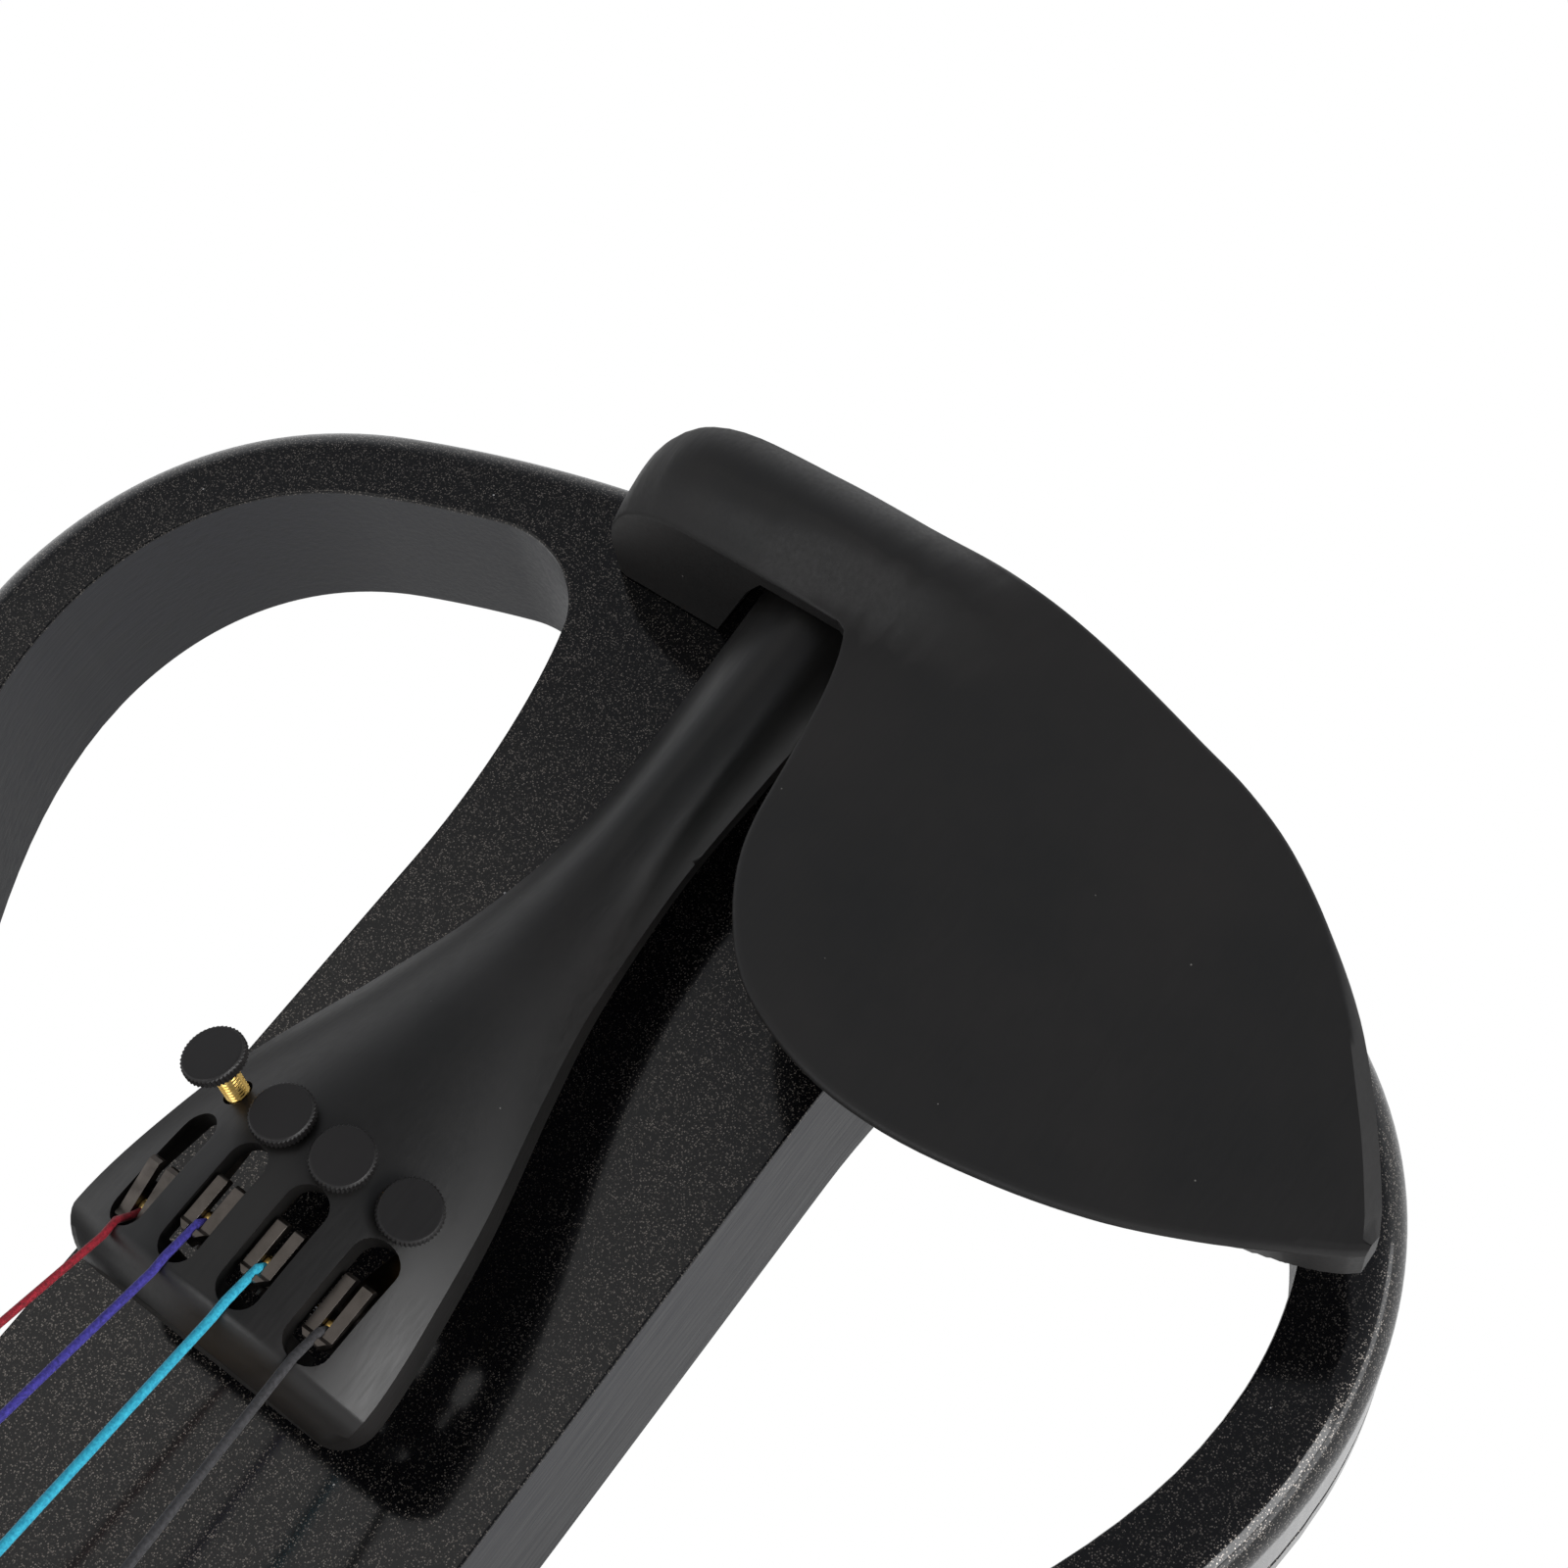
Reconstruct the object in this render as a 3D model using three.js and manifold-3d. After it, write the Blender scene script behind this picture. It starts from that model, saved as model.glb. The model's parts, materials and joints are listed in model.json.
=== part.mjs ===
// An electric violin with a black open-frame body, lying on its back.
// Millimetres. X runs to the treble side, Y from the tail to the scroll, Z up.
// While the pieces are made, Y is zero at the tail edge and Z is zero at the top face of the body.
import * as THREE from "three";
import { mergeVertices } from "three/addons/utils/BufferGeometryUtils.js";
import Module from "manifold-3d";

const wasm = await Module();
wasm.setup();

// Driving dimensions

// Clearances
const seat = 0.3; // between two pieces that rest on each other
const play = 0.35; // round a shaft that turns in its hole
const overrun = 2; // how far a cutting tool passes the face that it cuts

// Body
const bodyLength = 365;
const bodyThick = 25.5;
const lowerHalf = 104; // half of the width at the lower bout
const lowerY = 63;
const waistHalf = 56;
const waistShare = 0.493; // places along the body, as shares of its length
const upperHalf = 83;
const upperShare = 0.7945;
const neckEndHalf = 24; // half of the flat end that the neck meets
const tailRadius = 191;
const tailArcHalf = 72; // where the tail's arc turns into the corner of the bout
const armWidth = 12; // the frame's outer arms
const columnTreble = 27.8; // the centre block, from the middle line to its treble wall
const columnBass = 33.2;
const topRound = 4.5;
const backRound = 3;
const grooveDrop = 17; // from the top face to the groove round the side
const grooveWide = 2.2;
const grooveDeep = 1;
const windowTail = 18.4; // the tail edge of the lower windows
const windowCorner = 27.8; // where their tail corner meets the block's flare
const flareStart = 64;
const flareOut = 5.6;
const webTailShare = 0.444; // the web at the waist, from here
const webNeckShare = 0.5425; // to here
const shoulderShare = 0.871; // the upper windows end here at the centre block
const waistY = waistShare * bodyLength;
const upperY = upperShare * bodyLength;
const webTail = webTailShare * bodyLength;
const webNeck = webNeckShare * bodyLength;
const shoulderBlock = shoulderShare * bodyLength;

// Electronics, in the back of the centre block
const cavityShare = 0.57;
const cavityStart = cavityShare * bodyLength;
const cavityLength = 92;
const volumeDrop = 18; // places of the controls, from the start of the cavity
const toneDrop = 42;
const socketDrop = 72;
const phonesDrop = 66;
const switchDrop = 28;
const leadDrop = 8;
const boardDrop = 10;
const cavityDeep = 18;
const blockWall = 4.6;
const batteryLong = 48.5;
const batteryWide = 26.5;
const batteryThick = 16.5;
const batteryRoom = 1;
const coverThick = 2;
const coverLip = 3.4;
const coverScrew = 3; // diameter of the cover's screws
const potDiameter = 14;
const potDeep = 9;
const potShaft = 6;
const knobDiameter = 15;
const knobLong = 9;
const socketDiameter = 11; // bush of the output jack
const phonesDiameter = 8;
const jackPlateHalf = 13; // half the length of the plate that carries the output jack

// Neck, fingerboard, pegbox and scroll
const stringLength = 328;
const bridgeLead = 38.05; // from the bridge to the start of the control cavity
const bridgeY = cavityStart - bridgeLead;
const boardLength = 270;
const boardThick = 5.5; // at the edge
const boardNutHalf = 12;
const boardEndHalf = 21;
const boardRadius = 42;
const boardNutTop = 14.4;
const boardEndTop = 28;
const neckDeep = 13.5;
const neckHeelLong = 34;
const neckTongue = 40; // the part of the neck that lies on the body
const nutLong = 6;
const nutRise = 0.9;
const pegboxLong = 68;
const pegboxHalf = 12.8;
const throatHalf = 9;
const pegboxWall = 4.6;
const pegboxFloor = 4;
const scrollRadius = 17.5;
const scrollEyeRadius = 4.6;
const scrollEyeHalf = 20;
const scrollTurns = 2.25;
const pegSpacing = 14.5;
const pegFirst = 13; // from the nut to the first peg
const pegThick = 7.6;
const pegTip = 6.8;
const pegHeadWide = 22;
const pegHeadThick = 6.5;
const pegHeadLong = 22;
const pegStem = 14; // from the cheek to the head

// Bridge and strings
const bridgeTop = 36; // the crown of the bridge above the body
const bridgeHalf = 20.7; // half of its width at the feet
const bridgeThick = 4.4;
const bridgeEdge = 1.5;
const bridgeRadius = 42;
const bridgeSpacing = 11.3;
const nutSpacing = 5.5;
const pickupThick = 1.6;
const pickupWide = 9;
const names = ["g", "d", "a", "e"];
const gauges = [1.1, 1.1, 1.0, 0.9]; // the strings' outside diameters with their silk

// Tailpiece and its four fine tuners
const tailpieceStart = 11;
const tailpieceLong = 116;
const tailpieceHalf = 21.3;
const stemHalf = 7.4;
const tailpieceTop = 28.5; // the crown at the string end
const stemTop = 16.6;
const tailpieceWall = 1.9;
const ridgeFace = 4.6; // the bevelled strip at the string end
const slotSpacing = 8.67;
const slotWide = 2.9;
const slotLong = 15.4;
const slotBridge = 4.4; // from the slots to the string end
const slotFront = tailpieceStart + tailpieceLong - slotBridge;
const slotTail = slotFront - slotLong;
const tunerDrop = 3.7; // from the slots back to the row of screws
const tunerY = slotTail - tunerDrop;
const tunerHead = 7.5;
const tunerHeadTall = 1.5;
const tunerShank = 2.9;
const tunerShankLong = 11; // below the head
const tunerRise = 4.8; // how far the raised screw of the E string stands out
const tunerSeatGap = 0.4; // between a screwed-in head and the tailpiece
const leverThick = 1.8;
const leverPin = 1.5;
const pinDrop = 6.1;
const leverPinY = slotFront - pinDrop;
const leverPinZ = 17.6;
const gutThick = 2.2;

// End button, saddle
const buttonStem = 7.6;
const buttonHead = 14.5;
const buttonHeadLong = 7;
const saddleHalf = 11;
const saddleTall = 3.4;
const saddleDeep = 6.5;

// Chinrest and its clamp
const chinrestTop = 24;
const chinrestThick = 6.2;
const chinrestDish = 1.4;
const chinrestRim = 1.4; // radius of its rounded edge
const cupReach = 98.2; // from the middle line to the tip on the bass side
const cupDeep = 67.2; // from the tail to the near rim
const archTop = 26.9;
const archSide = 21.5; // the height of the arch at its two edges
const archFlat = 15; // where the treble end begins to round down
const archEnd = 32.9;
const archFront = 17;
const footInner = 15.9; // inner edge of the treble foot
const bassFootInner = -12;
const bassFootOuter = -31;
const tunnelTop = 19;
const tunnelShoulder = 15;
const clampX = 21;
const clampY = -6.4;
const clampHalf = 3.4;
const bracketEnd = 11;
const rodThick = 3;
const barrelThick = 6;
const barrelLong = 14;
const clampPlate = 2.3;
const clampCork = 2.1;
const clampReach = 24;

// Pulls of the outline's curves, along their end tangents
const cornerPull = 24;
const sidePull = 20;
const lowerPull = 45;
const waistPull = 37;
const upperPull = 40;
const shoulderReach = 28;

// Finishes
function finish(color, roughness, metalness) {
  return new THREE.MeshStandardMaterial({ color, roughness, metalness });
}
const flakeLacquer = finish(0x101012, 0.22, 0.1);
const paintedMaple = finish(0x0d0d0e, 0.3, 0);
const blackenedWood = finish(0x17171a, 0.5, 0);
const mouldedBlack = finish(0x141415, 0.55, 0);
const blackSteel = finish(0x1b1b1d, 0.35, 0.8);
const brightBrass = finish(0xd9a441, 0.25, 1);
const nickel = finish(0xc9c9cc, 0.2, 1);
const bareMaple = finish(0xd8b483, 0.6, 0);
const cork = finish(0xa97b4f, 0.9, 0);
const boardGreen = finish(0x1d5a38, 0.6, 0);
const batteryCase = finish(0x3a3d42, 0.5, 0.2);
const silks = [0x77777a, 0x20b4d4, 0x3a3aa8, 0xb01828].map((c) => finish(c, 0.7, 0));

// Solids

const violin = new THREE.Group();

// A closed three.js geometry as a solid that can be cut and joined, with its faces out.
function toSolid(geometry) {
  const loose = geometry.index ? geometry.toNonIndexed() : geometry;
  const bare = new THREE.BufferGeometry();
  bare.setAttribute("position", loose.getAttribute("position"));
  const merged = mergeVertices(bare, 1e-4);
  const all = merged.index.array;
  const kept = [];
  for (let i = 0; i < all.length; i += 3) {
    const [a, b, c] = [all[i], all[i + 1], all[i + 2]];
    if (a !== b && b !== c && c !== a) kept.push(a, b, c);
  }
  const vertProperties = new Float32Array(merged.attributes.position.array);
  const build = (order) =>
    new wasm.Manifold(new wasm.Mesh({ numProp: 3, vertProperties, triVerts: new Uint32Array(order) }));
  const made = build(kept);
  return made.volume() < 0 ? build(kept.reverse()) : made;
}

function toGeometry(solid) {
  const mesh = solid.getMesh();
  const geometry = new THREE.BufferGeometry();
  geometry.setAttribute("position", new THREE.BufferAttribute(mesh.vertProperties, 3));
  geometry.setIndex(new THREE.BufferAttribute(mesh.triVerts, 1));
  const faceted = geometry.toNonIndexed();
  faceted.computeVertexNormals();
  return faceted;
}

function join(first, ...others) {
  return others.reduce((sum, other) => sum.add(other), first);
}

function cut(first, ...tools) {
  return tools.reduce((rest, tool) => rest.subtract(tool), first);
}

function add(name, solid, material, parent = violin) {
  const mesh = new THREE.Mesh(toGeometry(solid), material);
  mesh.name = name;
  parent.add(mesh);
  return mesh;
}

function at(x, y, z, parent = violin) {
  const group = new THREE.Group();
  group.position.set(x, y, z);
  parent.add(group);
  return group;
}

function block([x0, x1], [y0, y1], [z0, z1]) {
  const box = new THREE.BoxGeometry(x1 - x0, y1 - y0, z1 - z0);
  return toSolid(box.translate((x0 + x1) / 2, (y0 + y1) / 2, (z0 + z1) / 2));
}

// A rod along X, Y or Z, from one place to another on that axis; across gives its other two places.
function rod(axis, radius, [from, to], across = [0, 0], sides = 16, endRadius = radius) {
  const rodForm = new THREE.CylinderGeometry(endRadius, radius, to - from, sides);
  rodForm.translate(0, (from + to) / 2, 0);
  if (axis === "x") rodForm.rotateZ(-Math.PI / 2).translate(0, across[0], across[1]);
  if (axis === "y") rodForm.translate(across[0], 0, across[1]);
  if (axis === "z") rodForm.rotateX(Math.PI / 2).translate(across[0], across[1], 0);
  return toSolid(rodForm);
}

// A turned form on the Y axis from [radius, place] pairs that start and end on the axis.
function turned(pairs, sides = 12) {
  return new THREE.LatheGeometry(pairs.map(([r, y]) => new THREE.Vector2(r, y)), sides);
}

const bases = {
  z: new THREE.Matrix4(),
  x: new THREE.Matrix4().makeBasis(
    new THREE.Vector3(0, 1, 0), new THREE.Vector3(0, 0, 1), new THREE.Vector3(1, 0, 0)),
  y: new THREE.Matrix4().makeBasis(
    new THREE.Vector3(1, 0, 0), new THREE.Vector3(0, 0, 1), new THREE.Vector3(0, -1, 0)),
};

// A flat outline swept along an axis. For z it is drawn in XY, for x in YZ, and for y in XZ.
function sweep(axis, shape, [from, to], curveSegments = 8) {
  const form = new THREE.ExtrudeGeometry(shape, { depth: to - from, bevelEnabled: false, curveSegments });
  form.applyMatrix4(bases[axis]);
  if (axis === "z") form.translate(0, 0, from);
  if (axis === "x") form.translate(from, 0, 0);
  if (axis === "y") form.translate(0, to, 0);
  return toSolid(form);
}

function outlineOf(pairs) {
  return new THREE.Shape(pairs.map(([a, b]) => new THREE.Vector2(a, b)));
}

// A skin over closed rings with the same number of points; flat reads a point's place in the ring's
// plane, and can be left out where every place on the ring is in sight of its first point.
function loft(rings, flat) {
  const count = rings[0].length;
  const places = rings.flat();
  const faces = [];
  for (let r = 0; r + 1 < rings.length; r++)
    for (let i = 0; i < count; i++) {
      const [a, b] = [r * count + i, r * count + ((i + 1) % count)];
      faces.push(a, b, b + count, a, b + count, a + count);
    }
  const fan = (ring) => ring.slice(2).map((_, i) => [0, i + 1, i + 2]);
  const cap = (ring) => (flat ? THREE.ShapeUtils.triangulateShape(ring.map(flat), []) : fan(ring));
  for (const [a, b, c] of cap(rings[0])) faces.push(a, c, b);
  const last = (rings.length - 1) * count;
  for (const [a, b, c] of cap(rings[rings.length - 1])) faces.push(last + a, last + b, last + c);
  const geometry = new THREE.BufferGeometry().setFromPoints(places);
  geometry.setIndex(faces);
  return toSolid(geometry);
}

// A smooth value between [share, value] pairs.
function along(pairs, share) {
  const curve = new THREE.CatmullRomCurve3(
    pairs.map(([s, v]) => new THREE.Vector3(s, v, 0)), false, "centripetal");
  let [low, high] = [0, 1];
  for (let i = 0; i < 30; i++) {
    const middle = (low + high) / 2;
    if (curve.getPoint(middle).x < share) low = middle;
    else high = middle;
  }
  return curve.getPoint(low).y;
}

// Body: a frame of four windows round a centre block

// The treble half of the outline, from the tail to the neck.
function halfOutline() {
  const turn = Math.asin(tailArcHalf / tailRadius);
  const arcEndY = tailRadius * (1 - Math.cos(turn));
  const path = new THREE.Path();
  path.absarc(0, tailRadius, tailRadius, -Math.PI / 2, turn - Math.PI / 2, false);
  path.bezierCurveTo(
    tailArcHalf + Math.cos(turn) * cornerPull, arcEndY + Math.sin(turn) * cornerPull,
    lowerHalf, lowerY - sidePull, lowerHalf, lowerY);
  path.bezierCurveTo(lowerHalf, lowerY + lowerPull, waistHalf, waistY - waistPull, waistHalf, waistY);
  path.bezierCurveTo(waistHalf, waistY + waistPull, upperHalf, upperY - upperPull, upperHalf, upperY);
  path.bezierCurveTo(
    upperHalf, upperY + upperPull, neckEndHalf + shoulderReach, bodyLength, neckEndHalf, bodyLength);
  const steps = [5, 6, 9, 8, 8];
  return path.curves.flatMap((curve, i) => curve.getPoints(steps[i]).slice(i ? 1 : 0));
}

// Moves a counter-clockwise outline inwards.
function offsetLoop(loop, inset) {
  return loop.map((p, i) => {
    const tangent = loop[(i + 1) % loop.length].clone()
      .sub(loop[(i + loop.length - 1) % loop.length]).normalize();
    return new THREE.Vector2(p.x - tangent.y * inset, p.y + tangent.x * inset);
  });
}

function bodyOutline(inset) {
  const half = halfOutline();
  const mirrored = half.slice(1).reverse().map((p) => new THREE.Vector2(-p.x, p.y));
  return offsetLoop([...half, new THREE.Vector2(0, bodyLength), ...mirrored], inset);
}

// The inner edge of the treble arm between two places along the body.
function armEdge(fromY, toY, fromX) {
  const half = bodyOutline(armWidth).slice(0, halfOutline().length);
  return half.filter((p) => p.y > fromY && p.y < toY && p.x > fromX);
}

const tipReach = 11; // the rounded tips of the windows at the waist
const tailPull = 8;

function lowerWindow(column) {
  const corner = column + flareOut;
  const rim = armEdge(windowTail, webTail - tipReach, corner + 2 * tailPull);
  const last = rim[rim.length - 1];
  const pull = rim[0].clone().sub(rim[1]).setLength(tailPull).add(rim[0]); // keeps the corner smooth
  const shape = new THREE.Shape();
  shape.moveTo(column, webTail - tipReach);
  shape.lineTo(column, flareStart);
  shape.bezierCurveTo(
    column, flareStart - 1.75 * tailPull, column + flareOut / 2, windowCorner + tailPull, corner, windowCorner);
  shape.bezierCurveTo(corner + tailPull / 4, windowCorner - 0.8 * tailPull, pull.x, pull.y, rim[0].x, rim[0].y);
  rim.slice(1).forEach((p) => shape.lineTo(p.x, p.y));
  shape.bezierCurveTo(
    last.x - tipReach / 2, last.y + tipReach, column, webTail + tipReach / 3, column, webTail - tipReach);
  return shape;
}

function upperWindow(column) {
  const rim = armEdge(webNeck + tipReach, shoulderBlock + tipReach, column);
  const [first, last] = [rim[0], rim[rim.length - 1]];
  const shape = new THREE.Shape();
  shape.moveTo(column, shoulderBlock - tipReach);
  shape.lineTo(column, webNeck + tipReach);
  shape.bezierCurveTo(
    column, webNeck - tipReach / 3, first.x - tipReach / 3, first.y - tipReach, first.x, first.y);
  rim.slice(1).forEach((p) => shape.lineTo(p.x, p.y));
  shape.bezierCurveTo(
    last.x - tipReach, last.y + tipReach / 2, column, shoulderBlock + tipReach / 2,
    column, shoulderBlock - tipReach);
  return shape;
}

// Cuts the same window on both sides; the centre block is a little wider on the bass side.
function windowCuts(draw) {
  const span = [-bodyThick - overrun, overrun];
  const curveSteps = 6;
  const treble = sweep("z", draw(columnTreble), span, curveSteps);
  const bassOutline = draw(columnBass).getPoints(curveSteps).map((p) => new THREE.Vector2(-p.x, p.y));
  return [treble, sweep("z", new THREE.Shape(bassOutline), span)];
}

const blockMiddle = (columnTreble - columnBass) / 2;
const backZ = -bodyThick;
const cavityX = [blockWall - columnBass, columnTreble - blockWall];
const cavityY = [cavityStart, cavityStart + cavityLength];
const cavityTop = backZ + cavityDeep;
const postRadius = coverScrew;
const screwInset = 0.8 * postRadius;
const screwPlaces = [cavityX[0] + screwInset, cavityX[1] - screwInset].flatMap((x) =>
  [cavityY[0] + screwInset, cavityY[1] - screwInset].map((y) => [x, y]));
const batteryHalf = batteryLong / 2 + batteryRoom;
const bayGap = 6; // wood between the control cavity and the battery bay
const bayX = [blockMiddle - batteryHalf, blockMiddle + batteryHalf];
const bayY = [cavityY[1] + bayGap, cavityY[1] + bayGap + batteryWide + 2 * batteryRoom];
const bayTop = backZ + coverThick + batteryThick + batteryRoom;
const doorLip = 2.4;
const controlZ = backZ + coverThick + potDiameter / 2 + batteryRoom;
const potPlaces = { volume: cavityStart + volumeDrop, tone: cavityStart + toneDrop };
const socketY = cavityStart + socketDrop;
const phonesY = cavityStart + phonesDrop;
const switchY = cavityStart + switchDrop;
const switchLong = 12;
const switchTall = 6;
const switchTravel = 4;
const saddleSink = 2;
const leadThick = 1.8;
const leadX = -5;
const leadY = cavityStart + leadDrop;
const buttonZ = -bodyThick / 2;
const buttonDeep = 20;

function grow([from, to], by) {
  return [from - by, to + by];
}

// The recess in the back for a cover whose lip reaches this far past its cavity.
function plateRoom(xs, ys, lip) {
  return block(grow(xs, lip + seat), grow(ys, lip + seat), [backZ - overrun, backZ + coverThick + seat]);
}

function makeBody() {
  const ring = (inset, z) => bodyOutline(inset).map((p) => new THREE.Vector3(p.x, p.y, z));
  const quarter = [0, 1, 2].map((i) => (i * Math.PI) / 4);
  const grooveZ = -grooveDrop;
  const rings = [
    ...quarter.map((a) => ring(backRound * (1 - Math.sin(a)), backZ + backRound * (1 - Math.cos(a)))),
    ring(0, grooveZ - grooveWide / 2),
    ring(grooveDeep, grooveZ),
    ring(0, grooveZ + grooveWide / 2),
    ...quarter.reverse().map((a) => ring(topRound * (1 - Math.sin(a)), topRound * (Math.cos(a) - 1))),
  ];
  const shell = loft(rings, (p) => new THREE.Vector2(p.x, p.y));
  const below = backZ - overrun;
  const posts = screwPlaces.map(([x, y]) => rod("z", postRadius, [below, cavityTop + overrun], [x, y], 12));
  const cavity = cut(block(cavityX, cavityY, [below, cavityTop]), ...posts);
  const treble = [cavityX[1] - overrun, columnTreble + overrun];
  const bass = [-columnBass - overrun, cavityX[0] + overrun];
  return cut(
    shell,
    ...windowCuts(lowerWindow),
    ...windowCuts(upperWindow),
    cavity,
    plateRoom(cavityX, cavityY, coverLip),
    ...screwPlaces.map(([x, y]) => rod("z", coverScrew / 2 + play, [below, cavityTop], [x, y], 12)),
    block(bayX, bayY, [below, bayTop]),
    plateRoom(bayX, bayY, doorLip),
    ...Object.values(potPlaces).map((y) => rod("x", potShaft / 2 + play, treble, [y, controlZ])),
    block(treble, grow([socketY, socketY], jackPlateHalf + seat), [below, cavityTop]),
    rod("x", phonesDiameter / 2 + play, bass, [phonesY, controlZ]),
    block(bass, [switchY - switchLong / 2, switchY + switchLong / 2],
      [controlZ - switchTall / 2, controlZ + switchTall / 2]),
    rod("y", buttonStem / 2 + play, [-overrun, buttonDeep], [0, buttonZ]),
    block([-saddleHalf, saddleHalf], [-overrun, saddleDeep + seat], [-saddleSink, overrun]),
    rod("z", 1.25 * leadThick, [cavityTop - overrun, overrun], [leadX, leadY], 12),
  );
}
add("body", makeBody(), flakeLacquer);

// Electronics

function makeCover(xs, ys, lip) {
  return block(grow(xs, lip), grow(ys, lip), [backZ, backZ + coverThick]);
}

const coverHead = { radius: coverScrew * 0.95, sink: 1.1 };
add("control_cover", cut(
  makeCover(cavityX, cavityY, coverLip),
  ...screwPlaces.map(([x, y]) => rod("z", coverScrew / 2 + play, [backZ - overrun, overrun], [x, y], 10)),
  ...screwPlaces.map(([x, y]) =>
    rod("z", coverHead.radius + play, [backZ - overrun, backZ + coverHead.sink], [x, y], 12)),
), mouldedBlack);

const coverScrewLong = 11;
screwPlaces.forEach(([x, y], i) => {
  const slot = block([-coverScrew, coverScrew], [-seat, seat], [-overrun, coverHead.sink / 2]);
  const head = rod("z", coverHead.radius, [0, coverHead.sink - seat], [0, 0], 12);
  const shank = rod("z", coverScrew / 2, [0, coverScrewLong], [0, 0], 10);
  add("cover_screw_" + (i + 1), cut(join(head, shank), slot), nickel, at(x, y, backZ));
});

const boardSize = { wide: 30, long: 44, thick: 1.6 };
const chipSize = { wide: 10, long: 14, tall: 3 };
const boardFrom = cavityStart + boardDrop;
const boardX = [cavityX[0] + switchTall + 2 * seat, cavityX[0] + switchTall + 2 * seat + boardSize.wide];
add("preamp_board", join(
  block(boardX, [boardFrom, boardFrom + boardSize.long], [cavityTop - seat - boardSize.thick, cavityTop - seat]),
  block([boardX[0] + chipSize.wide, boardX[0] + 2 * chipSize.wide],
    [boardFrom + chipSize.long, boardFrom + 2 * chipSize.long],
    [cavityTop - seat - boardSize.thick - chipSize.tall, cavityTop - seat - boardSize.thick / 2]),
), boardGreen);

const batteryFrom = { x: blockMiddle - batteryLong / 2, y: bayY[0] + batteryRoom, z: bayTop - seat - batteryThick };
const snapRadius = 3;
const snapTall = 0.8;
const clipLong = 6;
const caseLong = batteryLong - clipLong;
add("battery", join(
  block([batteryFrom.x, batteryFrom.x + caseLong], [batteryFrom.y, batteryFrom.y + batteryWide],
    [batteryFrom.z, batteryFrom.z + batteryThick]),
  ...[1, 3].map((share) => rod("x", snapRadius, grow([batteryFrom.x + caseLong, batteryFrom.x + caseLong], snapTall),
    [batteryFrom.y + (batteryWide * share) / 4, batteryFrom.z + batteryThick / 2], 12)),
), batteryCase);
const clipFrom = batteryFrom.x + caseLong + snapTall + seat;
add("battery_clip", block([clipFrom, bayX[1] - seat], grow([batteryFrom.y, batteryFrom.y + batteryWide], -batteryRoom),
  [batteryFrom.z + batteryRoom, batteryFrom.z + batteryThick - batteryRoom]), mouldedBlack);

const doorAxisX = bayX[0] - doorLip + coverThick / 2;
const nailSlot = { long: 12, wide: 2.4, deep: 0.9 };
add("battery_door", cut(
  join(
    block([doorAxisX, bayX[1] + doorLip], grow(bayY, doorLip), [backZ, backZ + coverThick]),
    rod("y", coverThick / 2, grow(bayY, doorLip), [doorAxisX, backZ + coverThick / 2]),
  ),
  block([bayX[1] - nailSlot.wide, bayX[1]],
    [(bayY[0] + bayY[1] - nailSlot.long) / 2, (bayY[0] + bayY[1] + nailSlot.long) / 2],
    [backZ - overrun, backZ + nailSlot.deep]),
), mouldedBlack);

const bushThick = 7.6;
const nutFlat = 11;
const potWall = columnTreble - cavityX[1];
for (const [name, y] of Object.entries(potPlaces)) {
  const place = at(cavityX[1], y, controlZ);
  const can = rod("x", potDiameter / 2, [-potDeep, -seat], [0, 0], 18);
  const shaft = rod("x", potShaft / 2, [-seat - overrun, potWall + knobLong - overrun], [0, 0], 12);
  add(name + "_pot", join(can, shaft), nickel, place);
  const bore = rod("x", potShaft / 2 + play, [potWall, potWall + knobLong - overrun + seat], [0, 0], 12);
  const skirt = rod("x", knobDiameter / 2, [potWall + 2 * seat, potWall + knobLong / 4], [0, 0], 16);
  const grip = rod("x", knobDiameter / 2.2, [potWall + 2 * seat, potWall + knobLong], [0, 0], 16, knobDiameter / 2.5);
  const pointer = block([potWall + knobLong / 2, potWall + knobLong + overrun], [-seat, seat],
    [knobDiameter / 8, knobDiameter]);
  add(name + "_knob", cut(join(skirt, grip), bore, pointer), mouldedBlack, place);
}

function makeSocket(diameter, boreDiameter, wall) {
  const flange = diameter * 1.35;
  const bush = rod("x", diameter / 2, [-wall - seat, overrun], [0, 0], 12);
  const bezel = rod("x", flange / 2, [seat, overrun], [0, 0], 14);
  const barrel = rod("x", diameter / 1.7, [-wall - bushThick * 2, -wall - seat], [0, 0], 12);
  const bore = rod("x", boreDiameter / 2, [-wall - bushThick, overrun * 2], [0, 0], 12);
  return cut(join(bush, bezel, barrel), bore);
}
const jackBore = 6.5;
const phonesBore = 3.6;
add("jack_plate", cut(
  block([cavityX[1], columnTreble], grow([socketY, socketY], jackPlateHalf), [backZ, cavityTop - seat]),
  plateRoom(cavityX, cavityY, coverLip),
  rod("x", socketDiameter / 2 + play, [cavityX[1] - overrun, columnTreble + overrun], [socketY, controlZ]),
), mouldedBlack);
add("output_jack", makeSocket(socketDiameter, jackBore, potWall), nickel, at(columnTreble, socketY, controlZ));
const phones = at(-columnBass, phonesY, controlZ);
phones.rotation.z = Math.PI;
add("headphone_jack", makeSocket(phonesDiameter, phonesBore, potWall), nickel, phones);

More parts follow.
